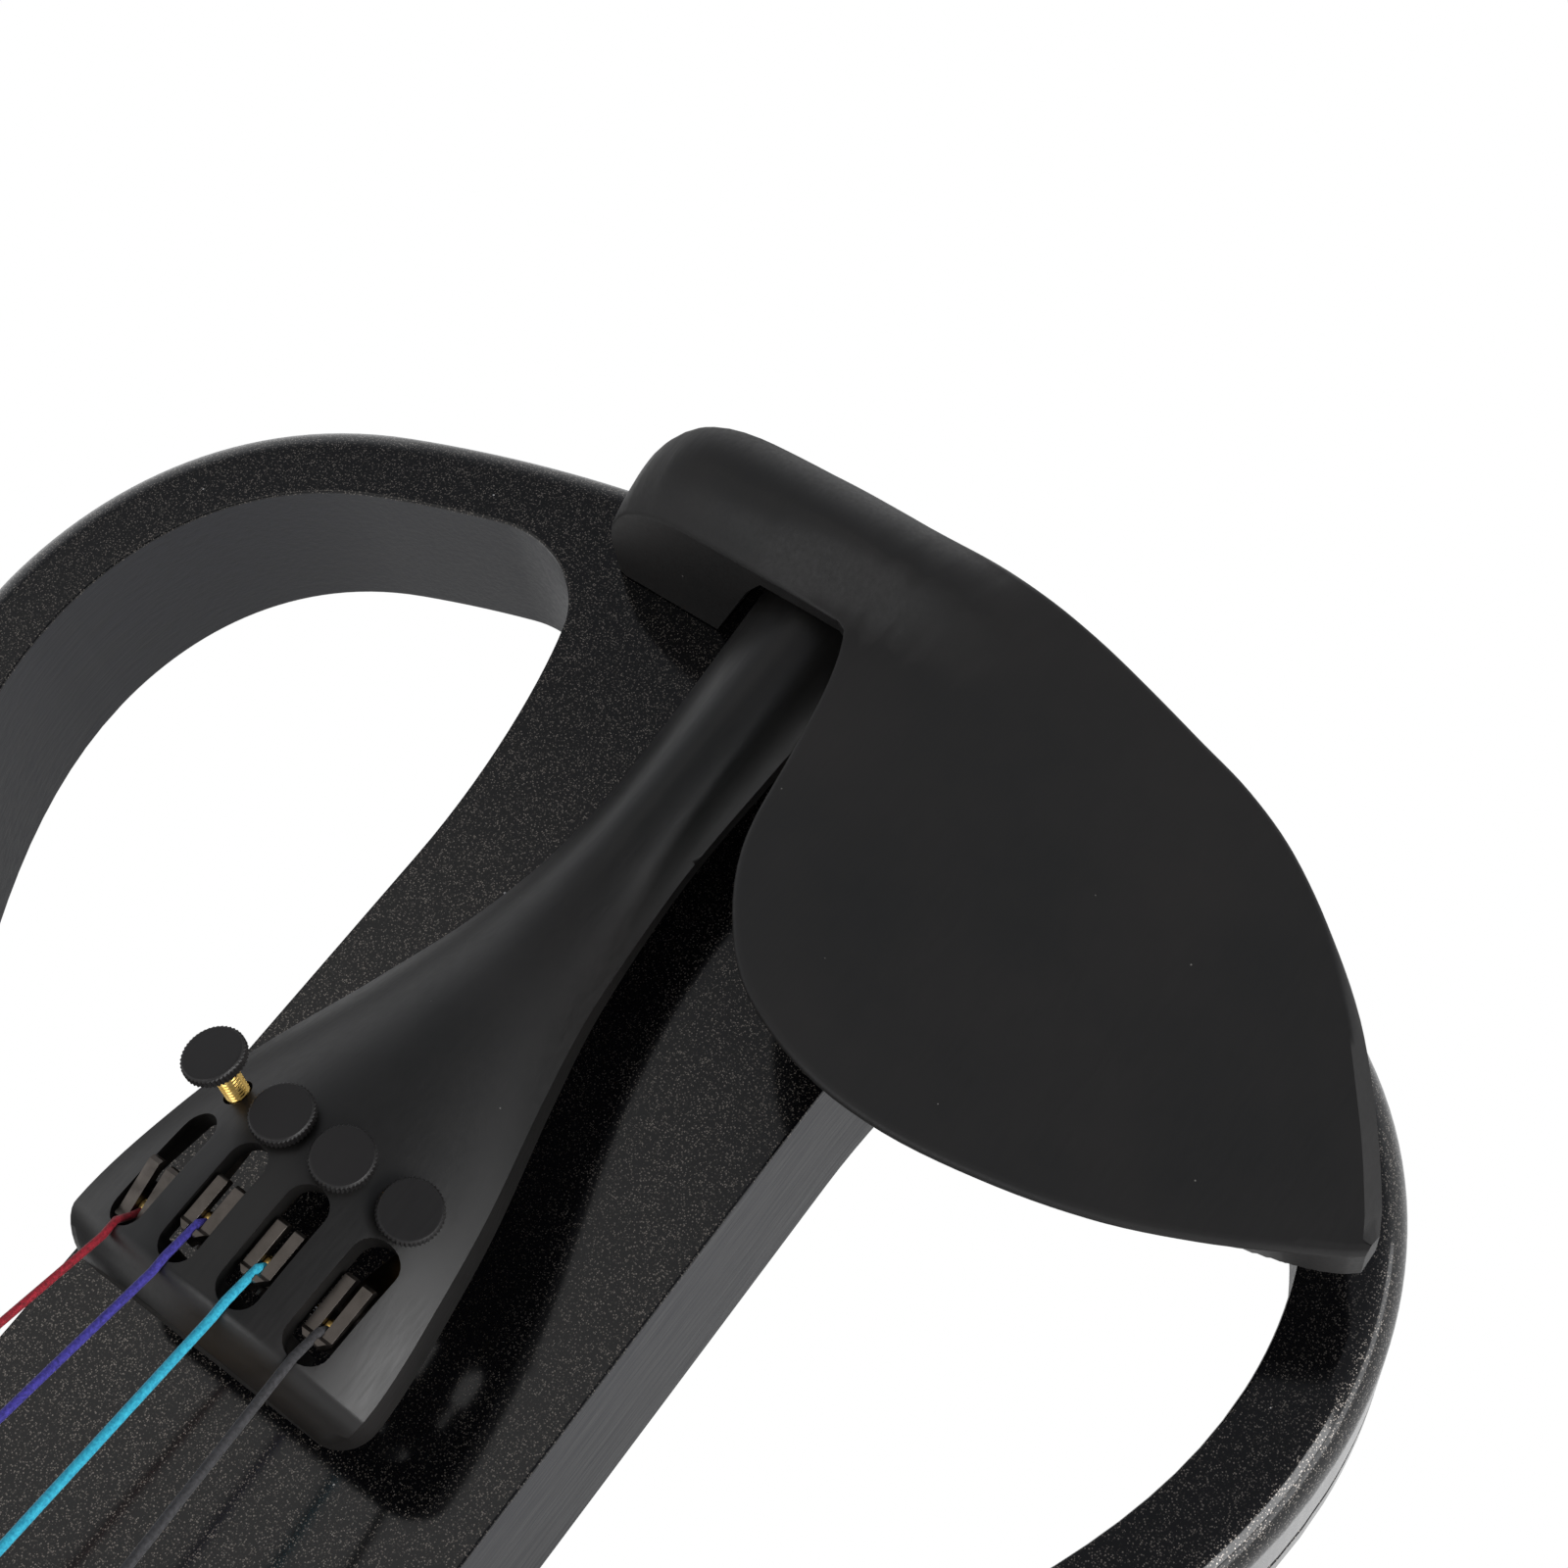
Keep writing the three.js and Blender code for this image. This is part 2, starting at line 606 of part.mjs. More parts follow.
const switchCase = at(-columnBass, switchY, controlZ);
const caseRoom = switchTall / 2 - play;
const lever = { half: 1.6, out: 1.2 };
add("power_switch", cut(
  block([play, potWall + switchTall], grow([-switchLong / 2, switchLong / 2], -play), [-caseRoom, caseRoom]),
  block([-overrun, potWall], grow([0, 0], switchTravel / 2 + lever.half + play), [-lever.half, lever.half]),
), blackSteel, switchCase);
add("switch_slider", block([-lever.out, potWall - play], [-lever.half - switchTravel / 2, lever.half - switchTravel / 2],
  [play - lever.half, lever.half - play]), mouldedBlack, switchCase);

// Neck, pegbox and scroll, one piece of maple

const nutY = bridgeY + stringLength;
const boardEndY = nutY - boardLength;
const boardSlope = (boardEndTop - boardNutTop) / boardLength;
const boardTopAt = (y) => boardNutTop + (nutY - y) * boardSlope; // the fingerboard's crown
const crownRise = boardRadius - Math.sqrt(boardRadius ** 2 - boardNutHalf ** 2);
const glueAt = (y) => boardTopAt(y) - crownRise - boardThick; // the plane where the board is glued
const boardHalfAt = (y) => boardNutHalf + ((nutY - y) * (boardEndHalf - boardNutHalf)) / boardLength;
const heelY = bodyLength + seat;
const tongueY = bodyLength - neckTongue;
const heelLow = backZ + backRound;
const neckSteps = 7;

// The round back of the neck: flat on top and a half oval below.
function neckSection(y) {
  const [half, top] = [boardHalfAt(y) - seat, glueAt(y) - seat];
  const oval = Array.from({ length: 9 }, (_, i) => {
    const a = (i * Math.PI) / 8;
    return new THREE.Vector3(-half * Math.cos(a), y, top - play - neckDeep * Math.sin(a));
  });
  return [new THREE.Vector3(-half, y, top), ...oval, new THREE.Vector3(half, y, top)];
}

const flatXZ = (p) => new THREE.Vector2(p.x, p.z);

function makeHeel() {
  const heelEnd = heelY + neckHeelLong;
  const side = new THREE.Shape();
  side.moveTo(tongueY, seat);
  side.lineTo(heelY, seat);
  side.lineTo(heelY, heelLow);
  side.lineTo(heelY + neckHeelLong / 8, heelLow);
  side.bezierCurveTo(
    heelY + neckHeelLong / 2, heelLow + neckHeelLong / 8, heelY + neckHeelLong / 2, glueAt(heelEnd) - neckDeep,
    heelEnd + neckHeelLong / 4, glueAt(heelEnd) - neckDeep);
  side.lineTo(heelEnd + neckHeelLong / 4, glueAt(heelEnd + neckHeelLong / 4) - neckDeep / 2);
  side.lineTo(heelEnd, glueAt(heelEnd) - seat);
  side.lineTo(tongueY, glueAt(tongueY) - seat);
  const half = boardHalfAt(heelY) - seat;
  const plan = outlineOf([
    [-half, tongueY - overrun], [half, tongueY - overrun], [half, heelY + neckHeelLong / 3],
    [half * 0.72, heelEnd + neckHeelLong], [-half * 0.72, heelEnd + neckHeelLong], [-half, heelY + neckHeelLong / 3],
  ]);
  return sweep("x", side, [-half, half], 10).intersect(
    sweep("z", plan, [backZ - overrun, glueAt(tongueY) + overrun]));
}

const pegboxStart = nutY + nutLong;
const pegboxEnd = pegboxStart + pegboxLong;
const pegboxTop = glueAt(nutY) - seat;
const scrollY = pegboxEnd + 0.55 * scrollRadius;
const restZ = backZ - 2 * seat - clampCork - clampPlate; // the plane that the violin lies on
const scrollLowShare = 0.969; // the volute's lowest line, as a share of its radius
const scrollZ = restZ + scrollLowShare * scrollRadius;
const throatTop = scrollZ + 0.5 * scrollRadius;
const throatBack = scrollZ - 0.86 * scrollRadius;
const pegboxSlope = (pegboxTop - throatTop) / (pegboxEnd - nutY);
const pegboxTopAt = (y) => pegboxTop - (y - nutY) * pegboxSlope;
const pegboxBackStart = glueAt(nutY) - neckDeep - play;

function makePegbox() {
  const side = new THREE.Shape();
  side.moveTo(nutY - nutLong / 2, pegboxTop);
  side.lineTo(nutY - nutLong / 2, pegboxBackStart);
  side.bezierCurveTo(
    nutY + pegboxLong / 6, pegboxBackStart - pegboxLong / 12, pegboxEnd - pegboxLong / 3, throatBack,
    pegboxEnd + scrollRadius / 3, throatBack);
  side.lineTo(pegboxEnd + scrollRadius / 3, throatTop);
  const plan = outlineOf([
    [-boardNutHalf, nutY - nutLong], [boardNutHalf, nutY - nutLong], [pegboxHalf, pegboxStart],
    [throatHalf, pegboxEnd + scrollRadius], [-throatHalf, pegboxEnd + scrollRadius], [-pegboxHalf, pegboxStart],
  ]);
  const channelPlan = outlineOf([
    [pegboxWall - pegboxHalf, pegboxStart], [pegboxHalf - pegboxWall, pegboxStart],
    [throatHalf - pegboxWall, pegboxEnd - pegboxWall], [pegboxWall - throatHalf, pegboxEnd - pegboxWall],
  ]);
  const channelSide = outlineOf([
    [pegboxStart, pegboxTop + overrun], [pegboxStart, pegboxBackStart + pegboxFloor],
    [pegboxStart + pegboxLong / 3, pegboxBackStart - pegboxLong / 10 + pegboxFloor],
    [pegboxEnd - pegboxWall, throatBack + 2 * pegboxFloor], [pegboxEnd - pegboxWall, pegboxTop + overrun],
  ]);
  const tall = [backZ * 2, pegboxTop + 2 * overrun];
  const form = sweep("x", side, [-pegboxHalf, pegboxHalf], 10).intersect(sweep("z", plan, tall));
  const channel = sweep("x", channelSide, [-pegboxHalf, pegboxHalf]).intersect(sweep("z", channelPlan, tall));
  return cut(form, channel);
}

// The volute: a band that winds in to the eye while it widens, so each turn stands proud of the last.
function makeScroll() {
  const perTurn = 20;
  const steps = Math.round(perTurn * scrollTurns);
  const start = -0.62 * Math.PI; // the band leaves the back of the pegbox here
  const radiusAt = (i) => scrollRadius * (scrollEyeRadius / scrollRadius) ** (i / steps);
  const halfAt = (i) => throatHalf * 0.72 +
    (scrollEyeHalf - throatHalf * 0.72) * Math.min(1, i / (steps - perTurn / 2)) ** 1.3;
  const place = (i, radial, half) => {
    const a = start + (2 * Math.PI * i) / perTurn;
    return [half, scrollY + radial * Math.cos(a), scrollZ + radial * Math.sin(a)];
  };
  const points = [];
  const index = (x, y, z) => points.push(x, y, z) / 3 - 1;
  const half = (side) => {
    const rim = [];
    const foot = [];
    for (let i = 0; i <= steps; i++) rim.push(index(...place(i, radiusAt(i), side * halfAt(i))));
    for (let i = 0; i + perTurn <= steps; i++)
      foot.push(index(...place(i, radiusAt(i + perTurn), side * halfAt(i))));
    return { rim, foot, eye: index(side * halfAt(steps), scrollY, scrollZ) };
  };
  const faces = [];
  const quad = (a, b, c, d) => faces.push(a, b, c, a, c, d);
  const sides = [half(1), half(-1)];
  sides.forEach(({ rim, foot, eye }, s) => {
    const skin = (a, b, c, d) => (s ? quad(d, c, b, a) : quad(a, b, c, d));
    const flat = (a, b, c) => (s ? faces.push(c, b, a) : faces.push(a, b, c));
    for (let i = 0; i + 1 < foot.length; i++) {
      skin(rim[i], rim[i + 1], foot[i + 1], foot[i]);
      skin(foot[i], foot[i + 1], rim[i + 1 + perTurn], rim[i + perTurn]);
    }
    const from = steps - perTurn;
    for (let i = from; i < steps; i++) flat(rim[i], rim[i + 1], eye);
    flat(rim[steps], foot[from], eye);
    flat(foot[from], rim[from], eye);
  });
  const [treble, bass] = sides;
  for (let i = 0; i + 1 < perTurn; i++) quad(treble.rim[i + 1], treble.rim[i], bass.rim[i], bass.rim[i + 1]);
  // The last stretch of the outer rim ends on the start of the band.
  const n = perTurn;
  faces.push(treble.rim[n], treble.rim[n - 1], treble.foot[0]);
  quad(treble.foot[0], treble.rim[n - 1], bass.rim[n - 1], bass.foot[0]);
  faces.push(bass.foot[0], bass.rim[n - 1], bass.rim[n]);
  quad(treble.rim[0], treble.foot[0], bass.foot[0], bass.rim[0]);
  const geometry = new THREE.BufferGeometry();
  geometry.setAttribute("position", new THREE.Float32BufferAttribute(points, 3));
  geometry.setIndex(faces);
  return toSolid(geometry);
}

// Peg order from the nut: G and D on the bass side, E and A on the treble side.
const pegOrder = ["g", "e", "d", "a"];
const pegSide = { g: -1, d: -1, a: 1, e: 1 };
const pegPlace = Object.fromEntries(pegOrder.map((name, i) => {
  const y = nutY + nutLong + pegFirst + i * pegSpacing;
  return [name, { y, z: pegboxTopAt(y) - pegThick * 1.15 }];
}));
const cheekAt = (y) => pegboxHalf - ((y - pegboxStart) * (pegboxHalf - throatHalf)) / (pegboxLong + scrollRadius);

function makeNeck() {
  const from = heelY + neckHeelLong / 3;
  const reach = nutY - nutLong / 4 - from;
  const sections = Array.from({ length: neckSteps + 1 }, (_, i) => neckSection(from + (reach * i) / neckSteps));
  const shaft = loft(sections, flatXZ);
  const holes = Object.values(pegPlace).map(({ y, z }) =>
    rod("x", pegThick / 2 + play, [-pegboxHalf - overrun, pegboxHalf + overrun], [y, z], 20));
  return cut(join(shaft, makeHeel(), makePegbox(), makeScroll()), ...holes);
}
add("neck", makeNeck(), paintedMaple);

// Fingerboard: a tapered plank with a round crown, hollowed beyond the neck
const boardArc = 12;
function boardSection(y) {
  const half = boardHalfAt(y);
  const top = boardTopAt(y);
  const spread = Math.asin(half / boardRadius);
  const arc = Array.from({ length: boardArc + 1 }, (_, i) => {
    const a = spread - (2 * spread * i) / boardArc;
    return new THREE.Vector3(boardRadius * Math.sin(a), y, top - boardRadius * (1 - Math.cos(a)));
  });
  return [new THREE.Vector3(-half, y, glueAt(y)), new THREE.Vector3(half, y, glueAt(y)), ...arc];
}
function makeBoard() {
  const ends = [nutY - seat, boardEndY];
  const plank = loft(ends.map(boardSection), flatXZ);
  const hollowHalf = boardEndHalf * 0.68;
  const hollowSpan = [boardEndY - overrun, tongueY - overrun];
  const hollowAxis = glueAt(boardEndY) - hollowHalf * 1.35;
  return cut(plank, rod("y", hollowHalf * 1.5, hollowSpan, [0, hollowAxis], 28));
}
add("fingerboard", makeBoard(), blackenedWood);

// Strings: where each one crosses the nut and the bridge
const order = names.map((_, i) => i - 1.5); // G to E, from the bass side
const bridgeX = order.map((k) => k * bridgeSpacing);
const nutX = order.map((k) => k * nutSpacing);
const slotX = order.map((k) => k * slotSpacing);
const archDrop = (x, radius) => radius - Math.sqrt(radius ** 2 - x ** 2);
const bridgeZ = bridgeX.map((x) => bridgeTop - archDrop(x, bridgeRadius));
const nutZ = nutX.map((x) => boardNutTop - archDrop(x, boardRadius) + nutRise);

const nutCrest = 0.7 * nutLong; // where the strings leave the nut

function makeNut() {
  const section = (y, rise) => {
    const half = boardNutHalf - seat;
    const spread = Math.asin(half / boardRadius);
    const arc = Array.from({ length: boardArc + 1 }, (_, i) => {
      const a = spread - (2 * spread * i) / boardArc;
      const x = boardRadius * Math.sin(a);
      return new THREE.Vector3(x, y, boardNutTop + rise - archDrop(x, boardRadius));
    });
    return [new THREE.Vector3(-half, y, pegboxTop + seat), new THREE.Vector3(half, y, pegboxTop + seat), ...arc];
  };
  const body = loft([
    section(nutY + nutLong - seat, -4 * nutRise),
    section(nutY + nutCrest, nutRise),
    section(nutY, nutRise),
  ], flatXZ);
  const notches = nutX.map((x, i) =>
    rod("y", gauges[i] / 2 + seat, [nutY - overrun, nutY + nutLong + overrun], [x, nutZ[i] + gauges[i] / 2], 12));
  return cut(body, ...notches);
}
add("nut", makeNut(), blackenedWood);

// Pegs: a tapered shank across both cheeks, a collar and a flat oval head
function makePeg(y) {
  const cheek = cheekAt(y);
  const shank = rod("y", pegThick / 2, [-cheek - pegboxWall / 2, cheek + pegStem / 3], [0, 0], 10, pegTip / 2);
  const collar = toSolid(turned([
    [0, cheek + play], [pegThick * 0.72, cheek + play + seat], [pegThick * 0.74, cheek + pegStem * 0.18],
    [pegThick * 0.55, cheek + pegStem * 0.3], [pegThick * 0.42, cheek + pegStem * 0.55],
    [pegThick * 0.55, cheek + pegStem], [0, cheek + pegStem + pegThick / 4],
  ]));
  const head = new THREE.SphereGeometry(pegHeadLong / 2, 10, 7);
  head.scale(pegHeadThick / pegHeadLong, 1, pegHeadWide / pegHeadLong);
  head.translate(0, cheek + pegStem + pegHeadLong / 2 - pegThick / 4, 0);
  const tip = cheek + pegStem + pegHeadLong;
  const ball = rod("y", pegThick / 5, [tip - pegThick, tip], [0, 0], 8);
  return join(shank, collar, toSolid(head), ball);
}
for (const name of pegOrder) {
  const { y, z } = pegPlace[name];
  const place = at(0, y, z);
  place.rotation.z = pegSide[name] > 0 ? -Math.PI / 2 : Math.PI / 2;
  add("peg_" + name, makePeg(y), blackenedWood, place);
}

// Tailpiece: a stem that swells to the string end, hollow below, with four slots and built-in tuners

const halfShares = [[0, 0.42], [0.034, 0.408], [0.207, 0.357], [0.362, 0.347], [0.509, 0.446], [0.62, 0.601],
  [0.759, 0.831], [0.871, 0.953], [0.94, 1], [1, 1]];
const crownShares = [[0, 0.6], [0.052, 0.614], [0.207, 0.59], [0.414, 0.582], [0.509, 0.64], [0.62, 0.79],
  [0.724, 0.92], [0.836, 1], [1, 1]];
const edgeShares = [[0, 0.42], [0.4, 0.42], [0.6, 0.55], [0.8, 0.67], [1, 0.69]];
const underShares = [[0, 0.35], [0.4, 0.35], [0.6, 0.42], [0.8, 0.5], [1, 0.51]];
const tailpieceEnd = tailpieceStart + tailpieceLong;
const shareAt = (y) => (y - tailpieceStart) / tailpieceLong;
const tailpieceHalfAt = (y) => tailpieceHalf * along(halfShares, shareAt(y));
const crownAt = (y) => tailpieceTop * along(crownShares, shareAt(y));
const edgeAt = (y) => tailpieceTop * along(edgeShares, shareAt(y));
const underAt = (y) => tailpieceTop * along(underShares, shareAt(y));
const shellAt = (x, y) => crownAt(y) - (crownAt(y) - edgeAt(y)) * (x / tailpieceHalfAt(y)) ** 2;
const shellArc = 10;

function shellSection(y, half, lower, under) {
  const full = tailpieceHalfAt(y);
  const arc = Array.from({ length: shellArc + 1 }, (_, i) => {
    const x = half * (1 - (2 * i) / shellArc);
    return new THREE.Vector3(x, y, shellAt((x * full) / half, y) - lower);
  });
  return [new THREE.Vector3(-half, y, under), new THREE.Vector3(half, y, under), ...arc];
}

const gutX = 3.6;
const gutZ = 12.7;
const gutEnd = tailpieceStart + 8;
const endCorner = 4.5; // radius of the string end's corners in plan
const hollowStart = tunerY - tunerHead * 1.3;
const tunerLean = 0.1; // radians, towards the tail
const pinReach = tailpieceHalf - tailpieceWall * 0.6;

// Strings: straight runs from the lever's fork over the ridge, the bridge and the nut to the peg
const forkY = leverPinY + 1.6 * leverThick;
const ridgeY = tailpieceEnd - endCorner * 0.6;

function stringRun(i, spare, first, last) {
  const r = gauges[i] / 2;
  const peg = pegPlace[names[i]];
  const stops = [
    [slotX[i], forkY + seat, shellAt(slotX[i], leverPinY) - 1.2 * leverThick],
    [slotX[i], ridgeY, shellAt(slotX[i], ridgeY)],
    [bridgeX[i], bridgeY - bridgeThick / 3, bridgeZ[i] + r + seat],
    [nutX[i], nutY + nutCrest, nutZ[i] + r + seat],
    [nutX[i] * 0.45, peg.y, peg.z + pegThick / 2 + r + seat],
  ];
  const rings = stops.slice(first, last).map(([x, y, z]) => Array.from({ length: 8 }, (_, k) => {
    const a = (2 * Math.PI * k) / 8;
    return new THREE.Vector3(x + (r + spare) * Math.cos(a), y, z + (r + spare) * Math.sin(a));
  }));
  return loft(rings, flatXZ);
}
names.forEach((name, i) => add("string_" + name, stringRun(i, 0), silks[i]));

// Each tuner's screw: where its seated head rests on the crown, and how it leans
const tunerRollShare = 0.016; // radians outwards for each millimetre from the middle line
const tunerRoll = (x) => tunerRollShare * x;
const tunerBase = slotX.map((x) => {
  const rim = Math.abs(x) - tunerHead / 2;
  const lift = shellAt(rim, tunerY) - shellAt(x, tunerY) - (tunerHead / 2) * Math.sin(Math.abs(tunerRoll(x)));
  return shellAt(x, tunerY) + tunerSeatGap + Math.max(0, lift);
});

const stationShares = [0, 0.03, 0.12, 0.24, 0.38, 0.48, 0.55, 0.62, 0.69, 0.76, 0.83, 0.9];
const endShares = [0.3, 0.65, 1]; // steps through the rounded corner of the string end

function makeTailpiece() {
  const straight = tailpieceEnd - endCorner;
  const stations = stationShares.map((share) => tailpieceStart + share * tailpieceLong);
  const rings = [...stations, straight].map((y) => shellSection(y, tailpieceHalfAt(y), 0, underAt(y)));
  for (const turn of endShares) {
    const y = straight + endCorner * turn;
    const half = tailpieceHalfAt(y) - endCorner * (1 - Math.sqrt(1 - turn ** 2));
    rings.push(shellSection(y, half, ridgeFace * Math.max(0, turn - 0.3) ** 1.5, underAt(y)));
  }
  const hollow = [hollowStart, slotTail, slotFront - tailpieceWall].map((y) =>
    shellSection(y, tailpieceHalfAt(y) - tailpieceWall, tailpieceWall, underAt(y) - overrun));
  const slots = slotX.map((x) => {
    const track = new THREE.Shape();
    const radius = slotWide / 2;
    track.absarc(x, slotTail + radius, radius, Math.PI, 2 * Math.PI, false);
    track.absarc(x, slotFront - radius, radius, 0, Math.PI, false);
    return sweep("z", track, [0, tailpieceTop + overrun], 4);
  });
  const holes = slotX.map((x, i) => {
    const hole = new THREE.CylinderGeometry(1, 1, tailpieceTop, 10);
    hole.scale(tunerShank / 2 + play, 1, tunerShank / 2 + play);
    const turn = new THREE.Matrix4().makeRotationFromEuler(new THREE.Euler(tunerLean, tunerRoll(x), 0));
    hole.rotateX(Math.PI / 2).applyMatrix4(turn).translate(x, tunerY, tunerBase[i]);
    return toSolid(hole);
  });
  const gutHoles = [-1, 1].map((side) =>
    rod("y", gutThick / 2 + play, [tailpieceStart - overrun, gutEnd + seat], [side * gutX, gutZ], 12));
  const ridgeNotches = slotX.map((_, i) => stringRun(i, seat, 0, 3));
  const pinHole = rod("x", leverPin / 2 + seat, [-pinReach - seat, pinReach + seat], [leverPinY, leverPinZ], 12);
  return cut(loft(rings, flatXZ), loft(hollow, flatXZ), ...slots, ...holes, ...gutHoles,
    ...ridgeNotches, pinHole);
}

add("tailpiece", makeTailpiece(), blackenedWood);
add("lever_pin", rod("x", leverPin / 2, [-pinReach, pinReach], [leverPinY, leverPinZ], 12), nickel);

// Fine tuners: a knurled head and its threaded shank press on the long arm of a forked lever
const leverWide = 2.3;
const forkSlit = 1.5;
const tipLong = 1.4;
const armLong = leverPinY - tunerY;
const armSide = 0.7; // metal on each side of the screw's tip
const leverArmShare = 1.06; // the contact lies below the pin, so it swings on a longer radius
const knurls = 18;
const restRise = { g: 0, d: 0, a: 0, e: tunerRise };

function makeHead() {
  const outline = new THREE.Shape(Array.from({ length: 2 * knurls }, (_, i) => {
    const a = (Math.PI * i) / knurls;
    const r = tunerHead / 2 - (i % 2) * 0.05 * tunerHead;
    return new THREE.Vector2(r * Math.cos(a), r * Math.sin(a));
  }));
  const bore = rod("z", tunerShank / 2 + play / 2, [-overrun, tunerHeadTall / 2], [0, 0], 14);
  return cut(sweep("z", outline, [0, tunerHeadTall]), bore);
}

names.forEach((name, i) => {
  const x = slotX[i];
  const place = at(x, tunerY, tunerBase[i]);
  place.rotation.set(tunerLean, tunerRoll(x), 0);
  const raised = at(0, 0, restRise[name], place);
  const reach = tunerShankLong;
  const shank = join(
    rod("z", tunerShank / 2, [tipLong - reach, tunerHeadTall / 2 - seat], [0, 0], 14),
    rod("z", tunerShank / 8, [-reach, tipLong - reach + seat], [0, 0], 14, tunerShank / 2),
  );
  add("tuner_shank_" + name, shank, brightBrass, raised);
  add("tuner_head_" + name, makeHead(), blackSteel, raised);

  // The lever in its screwed-in posture, from its pin; then tilted as far as its screw stands out.
  const tip = {
    u: tunerY + reach * Math.sin(tunerLean) - leverPinY,
    v: tunerBase[i] - reach * Math.cos(tunerLean) * Math.cos(tunerRoll(x)) - leverPinZ - seat,
  };
  const tipX = -reach * Math.sin(tunerRoll(x)); // the lean brings the tip beside the fork's middle plane
  const top = shellAt(x, leverPinY) - leverPinZ - leverThick / 2;
  const eye = leverThick * 1.05;
  const fork = outlineOf([
    [-eye / 2, -eye], [eye, -eye / 2], [eye, top - 3 * leverThick], [1.6 * eye, top - 2.4 * leverThick],
    [1.6 * eye, top - leverThick], [1.1 * eye, top - leverThick], [eye, top - 1.6 * leverThick],
    [eye / 3, top - 1.4 * leverThick], [0, top], [-eye / 2, top],
  ]);
  const arm = outlineOf([
    [tip.u - leverThick / 2, tip.v - leverThick], [-eye, -eye], [0, -eye], [0, eye * 0.8], [-eye, eye * 0.6],
    [tip.u + leverThick, tip.v], [tip.u - leverThick / 2, tip.v],
  ]);
  const armSpan = [Math.min(-leverWide / 2, tipX - armSide), Math.max(leverWide / 2, tipX + armSide)];
  const slit = block([-forkSlit / 2, forkSlit / 2], [-leverThick * 3, leverThick * 3],
    [top - 3 * leverThick, top + overrun]);
  const eyeHole = rod("x", leverPin / 2 + seat, [-overrun * 2, overrun * 2], [0, 0], 12);
  const form = cut(
    join(sweep("x", fork, [-leverWide / 2, leverWide / 2]), sweep("x", arm, armSpan)),
    slit, eyeHole,
  );
  const pivot = at(x, leverPinY, leverPinZ);
  pivot.rotation.x = -Math.asin(restRise[name] / (armLong * leverArmShare));
  add("tuner_lever_" + name, form, blackSteel, pivot);
});

// Bridge: a carved maple plate that thins to its top
const bridgeShares = [[0, 0.235], [0.2, 0.2], [0.36, 0.1], [0.42, 0], [1, 0], [1, 0.06], [0.86, 0.12], [0.74, 0.17],
  [0.7, 0.26], [0.76, 0.34], [0.88, 0.4], [0.93, 0.47], [0.88, 0.55], [0.8, 0.58], [0.9, 0.66], [0.93, 0.72],
  [0.86, 0.8]];
const heart = { radius: 2.7, up: 0.6 };
const kidney = { radius: 2.9, out: 0.44, up: 0.46 };

function makeBridge() {
  const half = bridgeShares.map(([u, v]) => [u * bridgeHalf, seat + v * bridgeTop]);
  const reach = half[half.length - 1][0];
  const arc = Array.from({ length: 9 }, (_, i) => reach * (1 - i / 4))
    .map((x) => [x, bridgeTop - archDrop(x, bridgeRadius)]);
  const left = half.slice(1).reverse().map(([x, z]) => [-x, z]);
  const face = outlineOf([...half, ...arc.slice(0, 9), ...left]);
  const plate = sweep("y", face, [bridgeY - bridgeThick, bridgeY + bridgeThick]);
  const taper = outlineOf([
    [bridgeY - bridgeThick / 2, 0], [bridgeY + bridgeThick / 2, 0],
    [bridgeY - bridgeThick / 2 + bridgeEdge, bridgeTop + overrun], [bridgeY - bridgeThick / 2, bridgeTop + overrun],
  ]);
  const span = [bridgeY - bridgeThick, bridgeY + bridgeThick];
  const eyes = [[0, heart.up, heart.radius], [kidney.out, kidney.up, kidney.radius],
    [-kidney.out, kidney.up, kidney.radius]];
  const notches = bridgeX.map((x, i) =>
    rod("y", gauges[i] / 2 + seat, span, [x, bridgeZ[i] + gauges[i] / 2], 12));
  return cut(
    plate.intersect(sweep("x", taper, [-bridgeHalf - overrun, bridgeHalf + overrun])),
    ...eyes.map(([x, z, r]) => rod("y", r, span, [x * bridgeHalf, z * bridgeTop], 14)),
    ...notches,
  );
}
add("bridge", makeBridge(), bareMaple);

const pickupX = -0.55 * bridgeHalf;
const pickupZ = 0.2 * bridgeTop;
const bridgeBack = bridgeY - bridgeThick / 2;
add("bridge_pickup", block(grow([pickupX, pickupX], pickupWide / 2),
  [bridgeBack - seat - pickupThick, bridgeBack - seat], [pickupZ, pickupZ + pickupWide]), blackSteel);

// A round tube along a list of points
function tube(points, radius, sides, steps) {
  const route = new THREE.CatmullRomCurve3(points.map((p) => new THREE.Vector3(...p)), false, "centripetal");
  const section = new THREE.Shape(Array.from({ length: sides }, (_, i) => {
    const a = (2 * Math.PI * i) / sides;
    return new THREE.Vector2(radius * Math.cos(a), radius * Math.sin(a));
  }));
  return toSolid(new THREE.ExtrudeGeometry(section, { steps, extrudePath: route, bevelEnabled: false }));
}

const leadLow = leadThick / 2 + seat;
const leadFrom = bridgeBack - seat - leadThick / 2;
add("pickup_lead", tube([
  [pickupX, leadFrom, pickupZ - seat], [pickupX, leadFrom, leadLow + leadThick],
  [pickupX + leadThick, leadFrom, leadLow], [leadX - leadThick, leadFrom, leadLow],
  [leadX, bridgeY + leadThick, leadLow], [leadX, (bridgeY + leadY) / 2, leadLow],
  [leadX, leadY - 2 * leadThick, leadLow], [leadX, leadY - leadThick / 4, 0],
  [leadX, leadY, -leadThick], [leadX, leadY, cavityTop - leadThick],
], leadThick / 2, 6, 28), mouldedBlack);

